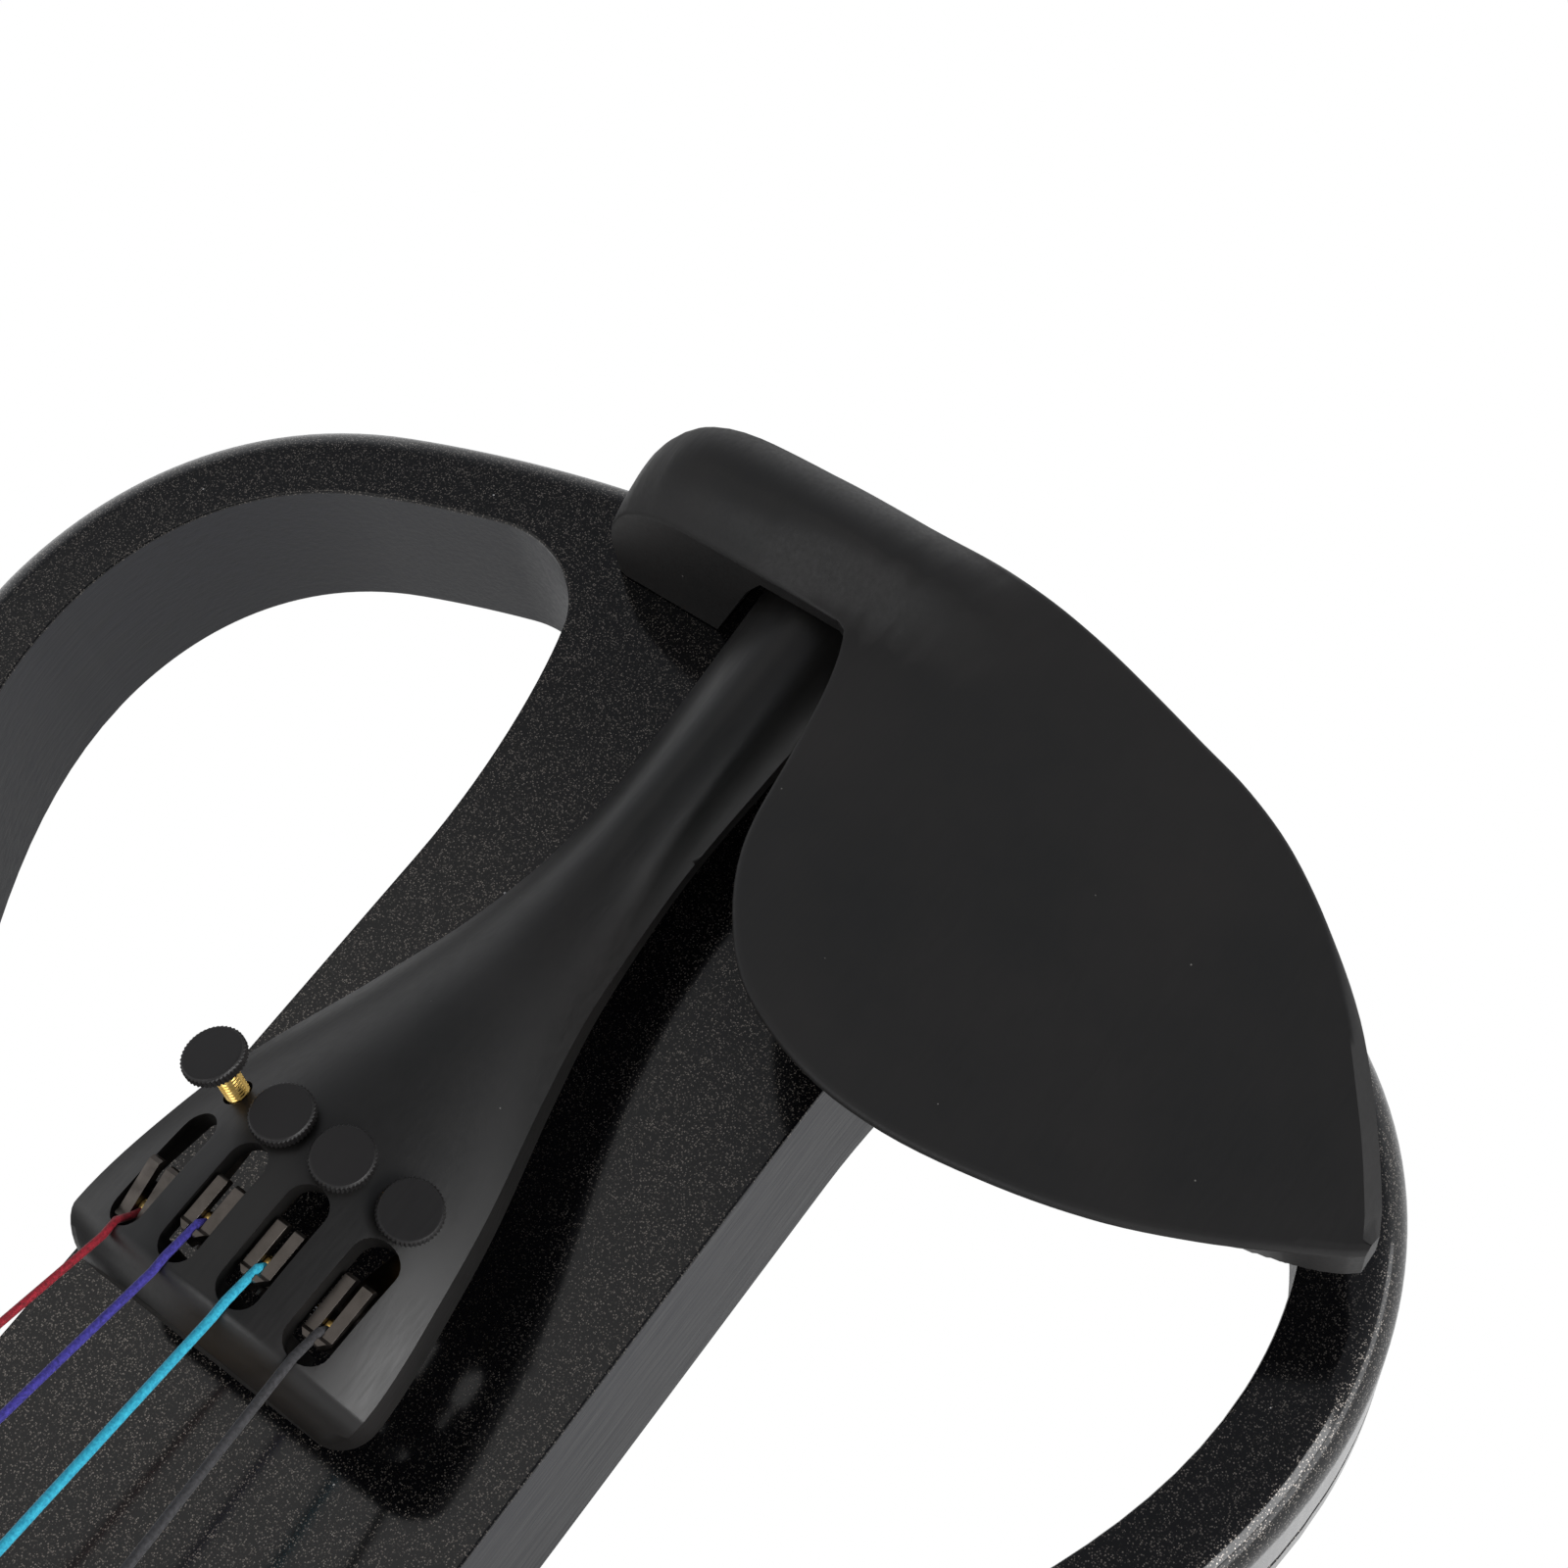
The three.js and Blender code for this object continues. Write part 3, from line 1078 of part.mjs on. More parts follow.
// Tail gut, end button and saddle
add("saddle", (() => {
  const side = new THREE.Shape();
  side.moveTo(seat, seat - saddleSink);
  side.lineTo(seat, saddleTall / 2);
  side.quadraticCurveTo(seat, saddleTall, saddleDeep / 2, saddleTall);
  side.lineTo(saddleDeep, saddleTall / 2);
  side.lineTo(saddleDeep, seat - saddleSink);
  return sweep("x", side, grow([-saddleHalf, saddleHalf], -seat), 6);
})(), blackenedWood);

const buttonNeck = buttonStem / 2 + 2 * seat;
const buttonGap = 4.4; // between the tail and the button's head, where the gut lies
const buttonEdge = 2; // its rounded edge
const buttonTaper = 0.6;
add("end_button", toSolid(turned([
  [0, buttonDeep - seat], [buttonStem / 2 - buttonTaper, buttonDeep - seat], [buttonStem / 2, 0], [buttonNeck, -seat],
  [buttonNeck, -buttonGap], [(buttonHead - buttonEdge) / 2, -buttonGap - seat], [buttonHead / 2, -buttonGap - buttonEdge],
  [(buttonHead - buttonTaper) / 2, -buttonGap - buttonHeadLong / 2],
  [buttonHead / 4, -buttonGap - buttonHeadLong + buttonTaper], [0, -buttonGap - buttonHeadLong],
], 16).translate(0, 0, buttonZ)), blackenedWood);

const gutY = -buttonGap / 2;
const gutRing = buttonNeck + gutThick / 2 + seat;
const gutOver = saddleTall + gutThick / 2 + seat;
const gutSide = (s) => [
  [s * gutX, gutEnd, gutZ], [s * gutX, (gutEnd + tailpieceStart) / 2, gutZ],
  [s * gutX, tailpieceStart - seat, gutZ], [s * gutX, saddleDeep, gutOver + gutThick],
  [s * gutX, saddleDeep / 2, gutOver + seat], [s * gutX, seat - gutThick / 2, gutOver - gutThick / 2],
  [s * (gutX + seat), gutY, 0], [s * gutRing, gutY, buttonZ + gutRing],
];
add("tail_gut", tube([
  ...gutSide(1), [gutRing, gutY, buttonZ], [0.71 * gutRing, gutY, buttonZ - 0.71 * gutRing],
  [0, gutY, buttonZ - gutRing], [-0.71 * gutRing, gutY, buttonZ - 0.71 * gutRing], [-gutRing, gutY, buttonZ],
  ...gutSide(-1).reverse(),
], gutThick / 2, 6, 34), nickel);

// Chinrest: a dished plate on the bass side, joined over the tailpiece to a domed treble end

// Pairs of places on the rear and the near edge, from the treble end to the tip, with a straight rib
// between them. They are shares of the reach and depth, and negative on the bass side.
const ribShares = [
  [0.335, 0.18, 0.335, 0.238], [0.318, 0.136, 0.325, 0.253], [0.285, 0.098, 0.29, 0.253], [0.245, 0.051, 0.235, 0.253],
  [0.175, 0.013, 0.165, 0.253], [0.07, -0.004, 0.07, 0.253], [-0.04, -0.006, -0.045, 0.253],
  [-0.09, -0.003, -0.072, 0.26], [-0.15, 0.001, -0.098, 0.36], [-0.21, 0.012, -0.12, 0.52],
  [-0.29, 0.03, -0.142, 0.69], [-0.36, 0.052, -0.185, 0.81], [-0.44, 0.085, -0.26, 0.92],
  [-0.52, 0.121, -0.37, 0.985], [-0.6, 0.158, -0.49, 1], [-0.68, 0.215, -0.62, 0.975],
  [-0.77, 0.305, -0.74, 0.93], [-0.85, 0.41, -0.84, 0.87], [-0.92, 0.535, -0.92, 0.81], [-0.975, 0.655, -0.98, 0.765],
];
const crossShares = [0.16, 0.33, 0.5, 0.67, 0.84];

// The carved top over a place in plan: a shallow dish, joined to an arch whose treble end rounds down.
function chinrestTopAt(x, y) {
  const away = Math.hypot((x + 0.53 * cupReach) / (0.43 * cupReach), (y - 0.55 * cupDeep) / (0.4 * cupDeep));
  const plate = chinrestTop - chinrestDish * Math.max(0, 1 - away ** 2) ** 1.5;
  const across = Math.min(1, Math.abs((2 * y) / archFront - 1));
  const crown = archTop - (archTop - archSide) * across ** 2.2;
  const out = Math.min(1, Math.max(0, (x - archFlat) / (archEnd + play - archFlat)));
  const arch = seat + (crown - seat) * (1 - out ** 2.5) ** 0.4;
  const blend = THREE.MathUtils.smoothstep(x, -0.35 * cupReach, -0.04 * cupReach);
  return (1 - blend) * plate + blend * arch;
}

function makeChinrest() {
  const low = chinrestTop - chinrestThick;
  const notchX = -0.072 * cupReach; // where the arch's front edge turns into the plate's near rim
  const rings = ribShares.map(([x0, y0, x1, y1]) => {
    const rear = new THREE.Vector2(x0 * cupReach, y0 * cupDeep);
    const near = new THREE.Vector2(x1 * cupReach, y1 * cupDeep);
    const rim = Math.min(chinrestRim / rear.distanceTo(near), crossShares[0] / 2);
    const top = (share, drop) => {
      const { x, y } = near.clone().lerp(rear, share);
      return new THREE.Vector3(x, y, Math.max(2 * seat, chinrestTopAt(x, y) - drop));
    };
    return [
      new THREE.Vector3(rear.x, rear.y, seat), new THREE.Vector3(near.x, near.y, seat),
      top(0, chinrestRim), ...[rim, ...crossShares, 1 - rim].map((share) => top(share, 0)), top(1, chinrestRim),
    ];
  });
  const under = outlineOf([
    [-cupReach - overrun, -cupDeep], [bassFootOuter, -cupDeep], [bassFootOuter, archFront],
    [notchX, archFront + seat], [notchX, cupDeep + overrun], [-cupReach - overrun, cupDeep + overrun],
  ]);
  const tunnel = outlineOf([
    [footInner, -overrun], [footInner, seat], [footInner * 0.57, tunnelShoulder], [footInner * 0.4, tunnelTop],
    [bassFootInner * 0.6, tunnelTop], [bassFootInner * 0.9, tunnelShoulder], [bassFootInner, -overrun],
  ]);
  const brackets = [-1, 1].map((side) => block(grow([side * clampX, side * clampX], clampHalf + seat),
    [-overrun, bracketEnd + seat], [-overrun, 2 * seat + clampPlate]));
  const reach = [-overrun, archFront + overrun];
  return cut(loft(rings), sweep("z", under, [-overrun, low]), sweep("y", tunnel, reach), ...brackets);
}

add("chinrest", makeChinrest(), blackenedWood);

// Chinrest clamp: two upper brackets, two turnbuckle barrels and one lower bracket with its cork
const lowerPlateTop = backZ - 2 * seat - clampCork;
const barrelTop = buttonZ + barrelLong / 2;
const barrelLow = buttonZ - barrelLong / 2;
for (const [name, side] of [["bass", -1], ["treble", 1]]) {
  const x = side * clampX;
  const foot = block(grow([x, x], clampHalf), [clampY - clampHalf, bracketEnd], [seat, seat + clampPlate]);
  const stem = rod("z", rodThick / 2, [barrelTop - barrelLong / 3, seat + clampPlate / 2], [x, clampY], 16);
  add("clamp_bracket_" + name, join(foot, stem), nickel);
  const barrel = rod("z", barrelThick / 2, [barrelLow, barrelTop], [x, clampY], 16);
  const bore = rod("z", rodThick / 2 + play, [barrelLow - overrun, barrelTop + overrun], [x, clampY], 12);
  const keyHole = rod("x", rodThick / 3, [x - barrelThick, x + barrelThick], [clampY, buttonZ], 8);
  add("clamp_barrel_" + name, cut(barrel, bore, keyHole), nickel);
}
const lowerStems = [-1, 1].map((side) =>
  rod("z", rodThick / 2, [lowerPlateTop - clampPlate / 2, barrelLow + barrelLong / 3], [side * clampX, clampY], 16));
const lowerReach = clampReach - bracketEnd;
add("clamp_lower_bracket", join(
  block(grow([-clampX, clampX], clampHalf), [clampY - clampHalf, lowerReach], [restZ, lowerPlateTop]),
  ...lowerStems,
), nickel);
add("clamp_cork", block(grow([-clampX, clampX], clampHalf - seat), [backRound, lowerReach - seat],
  [lowerPlateTop + seat, backZ - seat]), cork);

// The finished violin stands on the middle of its lowest face, along Y.
const size = new THREE.Box3().setFromObject(violin);
const middle = size.getCenter(new THREE.Vector3());
violin.position.set(-middle.x, -middle.y, -size.min.z);

export default violin;
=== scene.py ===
# An electric violin with a black open-frame body, seen from above its bass side.
# Pieces are modelled in millimetres, with Y zero at the tail edge and Z zero at the body's top face.
import json
import math

import bpy
from mathutils import Matrix, Vector
from mathutils.geometry import interpolate_bezier

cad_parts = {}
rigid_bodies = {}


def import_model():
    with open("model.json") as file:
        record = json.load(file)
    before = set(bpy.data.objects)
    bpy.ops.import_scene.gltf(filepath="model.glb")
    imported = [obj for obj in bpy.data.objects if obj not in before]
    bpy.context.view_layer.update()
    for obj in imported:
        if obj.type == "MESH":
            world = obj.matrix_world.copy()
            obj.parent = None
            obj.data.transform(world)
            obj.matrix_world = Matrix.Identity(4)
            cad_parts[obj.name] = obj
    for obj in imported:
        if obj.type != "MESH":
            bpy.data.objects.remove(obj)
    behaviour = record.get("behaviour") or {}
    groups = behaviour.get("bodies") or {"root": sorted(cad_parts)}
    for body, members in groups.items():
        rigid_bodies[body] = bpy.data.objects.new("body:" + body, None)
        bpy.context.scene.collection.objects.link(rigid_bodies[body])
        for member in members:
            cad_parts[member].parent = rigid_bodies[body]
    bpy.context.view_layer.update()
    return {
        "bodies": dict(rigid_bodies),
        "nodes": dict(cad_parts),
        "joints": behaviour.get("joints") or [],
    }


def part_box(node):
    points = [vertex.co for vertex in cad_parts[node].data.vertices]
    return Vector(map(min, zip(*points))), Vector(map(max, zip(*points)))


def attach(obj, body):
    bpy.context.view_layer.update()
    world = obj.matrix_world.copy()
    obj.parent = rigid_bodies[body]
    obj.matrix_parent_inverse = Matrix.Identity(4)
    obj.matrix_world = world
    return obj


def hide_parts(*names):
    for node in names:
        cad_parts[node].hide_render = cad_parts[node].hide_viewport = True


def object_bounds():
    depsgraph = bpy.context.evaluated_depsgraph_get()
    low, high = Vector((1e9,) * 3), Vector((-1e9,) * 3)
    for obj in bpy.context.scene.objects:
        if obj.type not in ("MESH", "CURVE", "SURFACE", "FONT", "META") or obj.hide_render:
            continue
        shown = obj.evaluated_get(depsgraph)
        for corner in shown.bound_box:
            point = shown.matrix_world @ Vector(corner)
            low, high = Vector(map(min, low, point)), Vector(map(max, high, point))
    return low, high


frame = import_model()

MM = 0.001
body_low, body_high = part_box("body")
ORIGIN = Vector((0, body_low.y, body_high.z))
NAMES = ["g", "d", "a", "e"]


def local(point):
    """A point of the frame, in metres, as millimetres from the tail edge and the top face."""
    return (Vector(point) - ORIGIN) / MM


def box(node):
    """A CAD node's lowest and highest corners in the modelling units."""
    low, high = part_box(node)
    return local(low), local(high)


def joint_of(name):
    """A joint's place and axis in the modelling units."""
    found = next(j for j in frame["joints"] if j["name"] == name)
    return local(found.get("pos_m", ORIGIN)), Vector(found["axis"])


# Camera: the photograph's view, fitted to the object's outlines

PHOTO = 1600
FOCAL_PIXELS = 2700
CENTRE_PIXEL = (848, 751)
SENSOR = 36
CAMERA_PLACE = Vector((-123.29, 139.38, 289.49))
CAMERA_RIGHT = Vector((-0.803947, -0.588297, -0.087042))
CAMERA_UP = Vector((0.479300, -0.727609, 0.490772))


def make_camera():
    camera = bpy.data.cameras.new("camera")
    camera.sensor_width = SENSOR
    camera.lens = FOCAL_PIXELS / PHOTO * SENSOR
    camera.shift_x = (PHOTO / 2 - CENTRE_PIXEL[0]) / PHOTO
    camera.shift_y = (CENTRE_PIXEL[1] - PHOTO / 2) / PHOTO
    camera.clip_start = 0.01
    right = CAMERA_RIGHT.normalized()
    back = right.cross(CAMERA_UP).normalized()
    turn = Matrix((right, back.cross(right), back)).transposed().to_4x4()
    holder = bpy.data.objects.new("camera", camera)
    holder.matrix_world = Matrix.Translation(ORIGIN + CAMERA_PLACE * MM) @ turn
    bpy.context.scene.collection.objects.link(holder)
    bpy.context.scene.camera = holder


# Modelling helpers

def only(piece):
    bpy.ops.object.select_all(action="DESELECT")
    piece.select_set(True)
    bpy.context.view_layer.objects.active = piece


def modify(piece, kind, **settings):
    """Adds one modifier with its settings and applies it."""
    modifier = piece.modifiers.new(kind, kind)
    for key, value in settings.items():
        setattr(modifier, key, value)
    only(piece)
    bpy.ops.object.modifier_apply(modifier=modifier.name)


def edit(piece, *steps, chosen=None):
    """Runs edit-mode steps on all of the piece, or on the vertices whose place is chosen."""
    only(piece)
    bpy.ops.object.mode_set(mode="EDIT")
    bpy.ops.mesh.select_mode(type="VERT")
    bpy.ops.mesh.select_all(action="SELECT")
    if chosen:
        bpy.ops.mesh.select_all(action="DESELECT")
        bpy.ops.object.mode_set(mode="OBJECT")
        for vertex in piece.data.vertices:
            vertex.select = chosen(vertex.co)
        bpy.ops.object.mode_set(mode="EDIT")
    for step in steps:
        step()
    bpy.ops.object.mode_set(mode="OBJECT")


def extruded(by):
    """A step that extrudes what is selected."""
    return lambda: bpy.ops.mesh.extrude_region_move(TRANSFORM_OT_translate={"value": by})


def face_out():
    bpy.ops.mesh.select_all(action="SELECT")
    bpy.ops.mesh.normals_make_consistent(inside=False)


def prism(name, outline, low, high, axis="z"):
    """An outline drawn in XY, YZ or XZ, extruded along z, x or y."""
    order = {
        "x": lambda a, b, c: (c, a, b), "y": lambda a, b, c: (a, c, b), "z": lambda a, b, c: (a, b, c)}[axis]
    bpy.ops.mesh.primitive_circle_add(vertices=len(outline), fill_type="NGON")
    piece = bpy.context.object
    piece.name = name
    for vertex, (a, b) in zip(piece.data.vertices, outline):
        vertex.co = order(a, b, low)
    edit(piece, extruded(order(0, 0, high - low)), face_out)
    return piece


def brick(name, xs, ys, zs):
    return prism(name, [(xs[0], ys[0]), (xs[1], ys[0]), (xs[1], ys[1]), (xs[0], ys[1])], *zs)


def evenly(first, last, count):
    """Values from first to last in this many even steps."""
    return [first + (last - first) * i / count for i in range(count + 1)]


def angles_round(count):
    """Angles round a circle in this many even steps."""
    return evenly(0, 2 * math.pi, count)[:-1]


def pin(name, radius, low, high, across, axis="z", sides=48):
    """A round rod; across gives the two places off its axis."""
    ring = [(across[0] + radius * math.cos(a), across[1] + radius * math.sin(a)) for a in angles_round(sides)]
    return prism(name, ring, low, high, axis)


def turned(name, profile, sides=64):
    """Spins (radius, height) pairs round Z. The pairs start and end on the axis."""
    bpy.ops.mesh.primitive_circle_add(vertices=len(profile), fill_type="NOTHING")
    piece = bpy.context.object
    piece.name = name
    for vertex, (radius, height) in zip(piece.data.vertices, profile):
        vertex.co = (radius, 0, height)
    piece.data.edges[-1].select = False

    def spin():
        bpy.ops.mesh.spin(steps=sides, angle=2 * math.pi, center=(0, 0, 0), axis=(0, 0, 1))
        bpy.ops.mesh.select_all(action="SELECT")
        bpy.ops.mesh.remove_doubles(threshold=1e-4)
        bpy.ops.mesh.dissolve_degenerate(threshold=1e-5)
        face_out()

    edit(piece, spin)
    return piece


def carve(piece, *tools, operation="DIFFERENCE"):
    for tool in tools:
        modify(piece, "BOOLEAN", operation=operation, solver="EXACT", object=tool)
        bpy.data.objects.remove(tool)
    return piece


def tidy_faces(piece, merge=0.01, flat=0.0):
    """Merges what a cut left doubled, and dissolves edges across faces that are flat to this angle."""
    edit(piece, lambda: bpy.ops.mesh.remove_doubles(threshold=merge))
    if flat:
        edit(piece, lambda: bpy.ops.mesh.dissolve_limited(angle_limit=math.radians(flat)))
    return piece


def soften(piece, width, segments=2, angle=40, clamp=False):
    """Rounds the sharp edges, as sanding and lacquer do."""
    modify(
        piece, "BEVEL", width=width, segments=segments, limit_method="ANGLE",
        angle_limit=math.radians(angle), use_clamp_overlap=clamp, miter_outer="MITER_ARC")
    return piece


def soften_some(piece, width, share, segments=2):
    """Rounds chosen edges: share(end, other_end) gives each edge's part of the full width."""
    weights = piece.data.attributes.new("bevel_weight_edge", "FLOAT", "EDGE")
    places = [vertex.co for vertex in piece.data.vertices]
    for edge in piece.data.edges:
        weights.data[edge.index].value = share(*[places[v] for v in edge.vertices])
    modify(piece, "BEVEL", width=width, segments=segments, limit_method="WEIGHT", use_clamp_overlap=False)
    piece.data.attributes.remove(piece.data.attributes["bevel_weight_edge"])
    return piece


def shade(piece, angle=35, weighted=True):
    only(piece)
    bpy.ops.object.shade_smooth_by_angle(angle=math.radians(angle))
    if weighted:
        modify(piece, "WEIGHTED_NORMAL", keep_sharp=True, weight=90)
    return piece


def loft(name, rings):
    """A skin over rings that have the same number of points, closed at both ends."""
    around = len(rings[0])
    bpy.ops.mesh.primitive_grid_add(x_subdivisions=around, y_subdivisions=len(rings) - 1)
    piece = bpy.context.object
    piece.name = name
    places = [ring[i % around] for ring in rings for i in range(around + 1)]
    for vertex, place in zip(piece.data.vertices, places):
        vertex.co = place
    edit(
        piece,
        lambda: bpy.ops.mesh.remove_doubles(threshold=1e-4),
        lambda: bpy.ops.mesh.fill_holes(sides=0),
        face_out,
    )
    return piece


def copy_of(node):
    """A CAD node's shape as a piece to finish, with its loose triangles merged."""
    mesh = frame["nodes"][node].data.copy()
    mesh.transform(Matrix.Scale(1 / MM, 4) @ Matrix.Translation(-ORIGIN))
    piece = bpy.data.objects.new(node + "_finished", mesh)
    bpy.context.scene.collection.objects.link(piece)
    return tidy_faces(piece, flat=0.5)


def settle(piece, finish, body="frame", replaces=()):
    """Puts a finished piece at its real place and size, gives it its finish, and lets it ride."""
    piece.data.transform(Matrix.Translation(ORIGIN) @ Matrix.Scale(MM, 4))
    piece.matrix_world = Matrix.Identity(4)
    piece.data.materials.clear()
    for material in finish if isinstance(finish, list) else [finish]:
        piece.data.materials.append(material)
    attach(piece, body)
    if replaces:
        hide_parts(*replaces)
    return piece


def bezier(start, pull_start, pull_end, end, steps):
    """Points along a curve, without its first one."""
    flat = [Vector((x, y, 0)) for x, y in (start, pull_start, pull_end, end)]
    return [(p.x, p.y) for p in interpolate_bezier(*flat, steps + 1)[1:]]


def inset_loop(loop, by):
    """Moves a counter-clockwise outline inwards."""
    moved = []
    for i, point in enumerate(loop):
        ahead, behind = Vector(loop[(i + 1) % len(loop)]), Vector(loop[i - 1])
        run = (ahead - behind).normalized()
        moved.append((point[0] - run.y * by, point[1] + run.x * by))
    return moved


def mirrored(points, middle=0):
    """The points of an outline's other half, in the order that goes on round it."""
    return [(2 * middle - x, y) for x, y in reversed(points)]


def smoothstep(low, high, value):
    share = min(1, max(0, (value - low) / (high - low)))
    return share * share * (3 - 2 * share)


# Finishes

def linear(hex_colour):
    """An sRGB hex colour as the linear values that shaders take."""
    channels = [int(hex_colour[i:i + 2], 16) / 255 for i in (1, 3, 5)]
    return [c / 12.92 if c <= 0.04045 else ((c + 0.055) / 1.055) ** 2.4 for c in channels] + [1]


MIX_FIRST, MIX_SECOND, MIX_OUT = 6, 7, 2  # the Mix node's colour sockets


def put(tree, kind, links=(), stops=(), **settings):
    """Adds a node with its settings, its inputs' sockets or plain values, and a ramp's places and colours,
    which are hex or linear. Returns its outputs."""
    node = tree.nodes.new("ShaderNode" + kind)
    for key, value in settings.items():
        setattr(node, key, value)
    for key, value in dict(links).items():
        if isinstance(value, bpy.types.NodeSocket):
            tree.links.new(value, node.inputs[key])
        else:
            node.inputs[key].default_value = value
    for _ in range(len(stops) - 2):
        node.color_ramp.elements.new(0.5)
    for i, (place, colour) in enumerate(dict(stops).items()):
        node.color_ramp.elements[i].position = place
        node.color_ramp.elements[i].color = linear(colour) if isinstance(colour, str) else colour
    return node.outputs


def material(name, **surface):
    """A Principled material with plain values; returns it with its tree."""
    made = bpy.data.materials.new(name)
    made.use_nodes = True
    for key, value in surface.items():
        made.node_tree.nodes["Principled BSDF"].inputs[key.replace("_", " ")].default_value = value
    return made, made.node_tree


def dress(made, colour, gloss=None, relief=None, metallic=None):
    """Links what patterns drive: gloss is (pattern, least roughness, most roughness), and relief is (pattern,
    depth in millimetres, strength)."""
    tree = made.node_tree
    sockets = {"Base Color": colour, "Metallic": metallic}
    if gloss:
        pattern, least, most = gloss
        sockets["Roughness"] = put(tree, "MapRange", {
            "Value": pattern, "From Min": 0.3, "From Max": 0.7, "To Min": least, "To Max": most})["Result"]
    if relief:
        pattern, deep, strength = relief
        sockets["Normal"] = put(
            tree, "Bump", {"Height": pattern, "Strength": strength, "Distance": deep * MM})["Normal"]
    for key, socket in sockets.items():
        if socket:
            tree.links.new(socket, tree.nodes["Principled BSDF"].inputs[key])
    return made


def grain_place(tree, stretch=(1, 1, 1)):
    """Object coordinates in millimetres, drawn out along a grain."""
    where = put(tree, "TexCoord")["Object"]
    return put(tree, "Mapping", {"Vector": where, "Scale": [s / MM for s in stretch]})["Vector"]


def mottled(tree, per_mm, detail=3, roughness=0.5, stretch=(1, 1, 1)):
    """An uneven pattern with this many patches to a millimetre, drawn out along a grain."""
    where = grain_place(tree, stretch)
    return put(tree, "TexNoise", {
        "Vector": where, "Scale": per_mm, "Detail": detail, "Roughness": roughness})["Fac"]


def specked(tree, colour, speck, spacing_mm, size_share, shift=0.0):
    """The colour with small specks in the middles of some cells of a random lattice."""
    shifted = put(tree, "VectorMath", {0: grain_place(tree), 1: (shift, shift, shift)})[0]
    cells = put(tree, "TexVoronoi", {"Vector": shifted, "Scale": 1 / spacing_mm})
    chance = put(tree, "SeparateColor", {0: cells["Color"]})["Red"]
    size = put(tree, "MapRange", {"Value": chance, "From Min": 0.55, "To Max": size_share})["Result"]
    inside = put(tree, "Math", {0: cells["Distance"], 1: size}, operation="LESS_THAN")[0]
    colours = {0: inside, MIX_FIRST: colour, MIX_SECOND: linear(speck)}
    return put(tree, "Mix", colours, data_type="RGBA")[MIX_OUT]


FLAKE_SPACING = 0.22  # the real flake is near 0.1 mm; drawn this coarse so that it shows in the render


def flake_lacquer():
    """Black lacquer with aluminium flake under polished clear coats: the flakes lie flat, so they only light up
    where the surface mirrors something bright, and go out where it mirrors something dark. Sparse pale specks
    on top are painted glints, bright whatever the surface mirrors."""
    made, tree = material(
        "polished flake lacquer", IOR=1.5, Coat_Weight=1.0, Coat_Roughness=0.1, Specular_IOR_Level=0.0)
    flake = put(tree, "TexVoronoi", {"Vector": grain_place(tree), "Scale": 1 / FLAKE_SPACING})
    parts = put(tree, "SeparateColor", {0: flake["Color"]})
    lit = put(tree, "Math", {0: parts["Red"], 1: 0.45}, operation="GREATER_THAN")[0]
    near = put(tree, "Math", {0: flake["Distance"], 1: 0.44}, operation="LESS_THAN")[0]
    seen = put(tree, "Math", {0: lit, 1: near}, operation="MULTIPLY")[0]
    shine = put(tree, "ValToRGB", {"Fac": parts["Green"]}, {0.2: "#2b2927", 0.95: "#8a837c"})["Color"]
    colours = {0: seen, MIX_FIRST: linear("#08080a"), MIX_SECOND: shine}
    # The pale #b8b8b8 specks are painted glints of flakes, drawn bright under any light.
    colour = specked(tree, put(tree, "Mix", colours, data_type="RGBA")[MIX_OUT], "#b8b8b8", 5.0, 0.035)
    return dress(made, colour, (mottled(tree, 0.12), 0.3, 0.4), (mottled(tree, 0.06, 2), 0.02, 1), seen)


def wall_lacquer():
    """The same lacquer where a router left the wood's grain under it: satin blue-black, with lines along the
    body. The real lines are finer; drawn 0.8 mm apart so that they show."""
    made, tree = material("satin lacquer on sawn maple", IOR=1.5)
    lines = mottled(tree, 1.3, 4, 0.65, (1, 0.06, 1))
    colour = put(tree, "ValToRGB", {"Fac": lines}, {0.3: "#15161a", 0.7: "#25262c"})["Color"]
    return dress(made, colour, (lines, 0.3, 0.46), (lines, 0.12, 0.5))


def ebonised(name, dark, light, rough, polish=0.0):
    """Hard maple dyed black and oiled: warm near-black with faint pores, matte where it isn't handled. The
    real pores are finer; drawn 0.45 mm apart so that they show."""
    made, tree = material(name, IOR=1.46, Coat_Weight=polish, Coat_Roughness=0.3)
    pores = mottled(tree, 2.2, 5, 0.6, (1, 0.1, 1))
    clouds = mottled(tree, 0.05, 4, 0.6)
    base = put(tree, "ValToRGB", {"Fac": clouds}, {0.3: dark, 0.72: light})["Color"]
    colour = specked(tree, base, "#7c7a76", 3.4, 0.045, 7.0)
    return dress(made, colour, (pores, rough - 0.06, rough + 0.06), (pores, 0.03, 0.4))


def moulded(name, dark, rough=0.5, stipple_per_mm=6.0):
    """ABS from a spark-eroded mould: an even fine stipple that scatters highlights."""
    made, tree = material(name, IOR=1.5, Roughness=rough)
    colour = put(tree, "ValToRGB", {"Fac": mottled(tree, 0.3)}, {0.3: dark, 0.8: "#1b1b1c"})["Color"]
    return dress(made, colour, relief=(mottled(tree, stipple_per_mm, 2), 0.03, 0.5))


def metal(name, dark, light, rough, marks_per_mm=4.0):
    """A plated or blackened metal: faint turning marks and handling haze in its gloss. The real marks are
    finer; drawn 0.25 mm apart so that they show."""
    made, tree = material(name, Metallic=1.0)
    haze = mottled(tree, 0.5, 4, 0.6)
    colour = put(tree, "ValToRGB", {"Fac": haze}, {0.3: dark, 0.7: light})["Color"]
    return dress(made, colour, (haze, rough - 0.07, rough + 0.08), (mottled(tree, marks_per_mm), 0.01, 0.4))


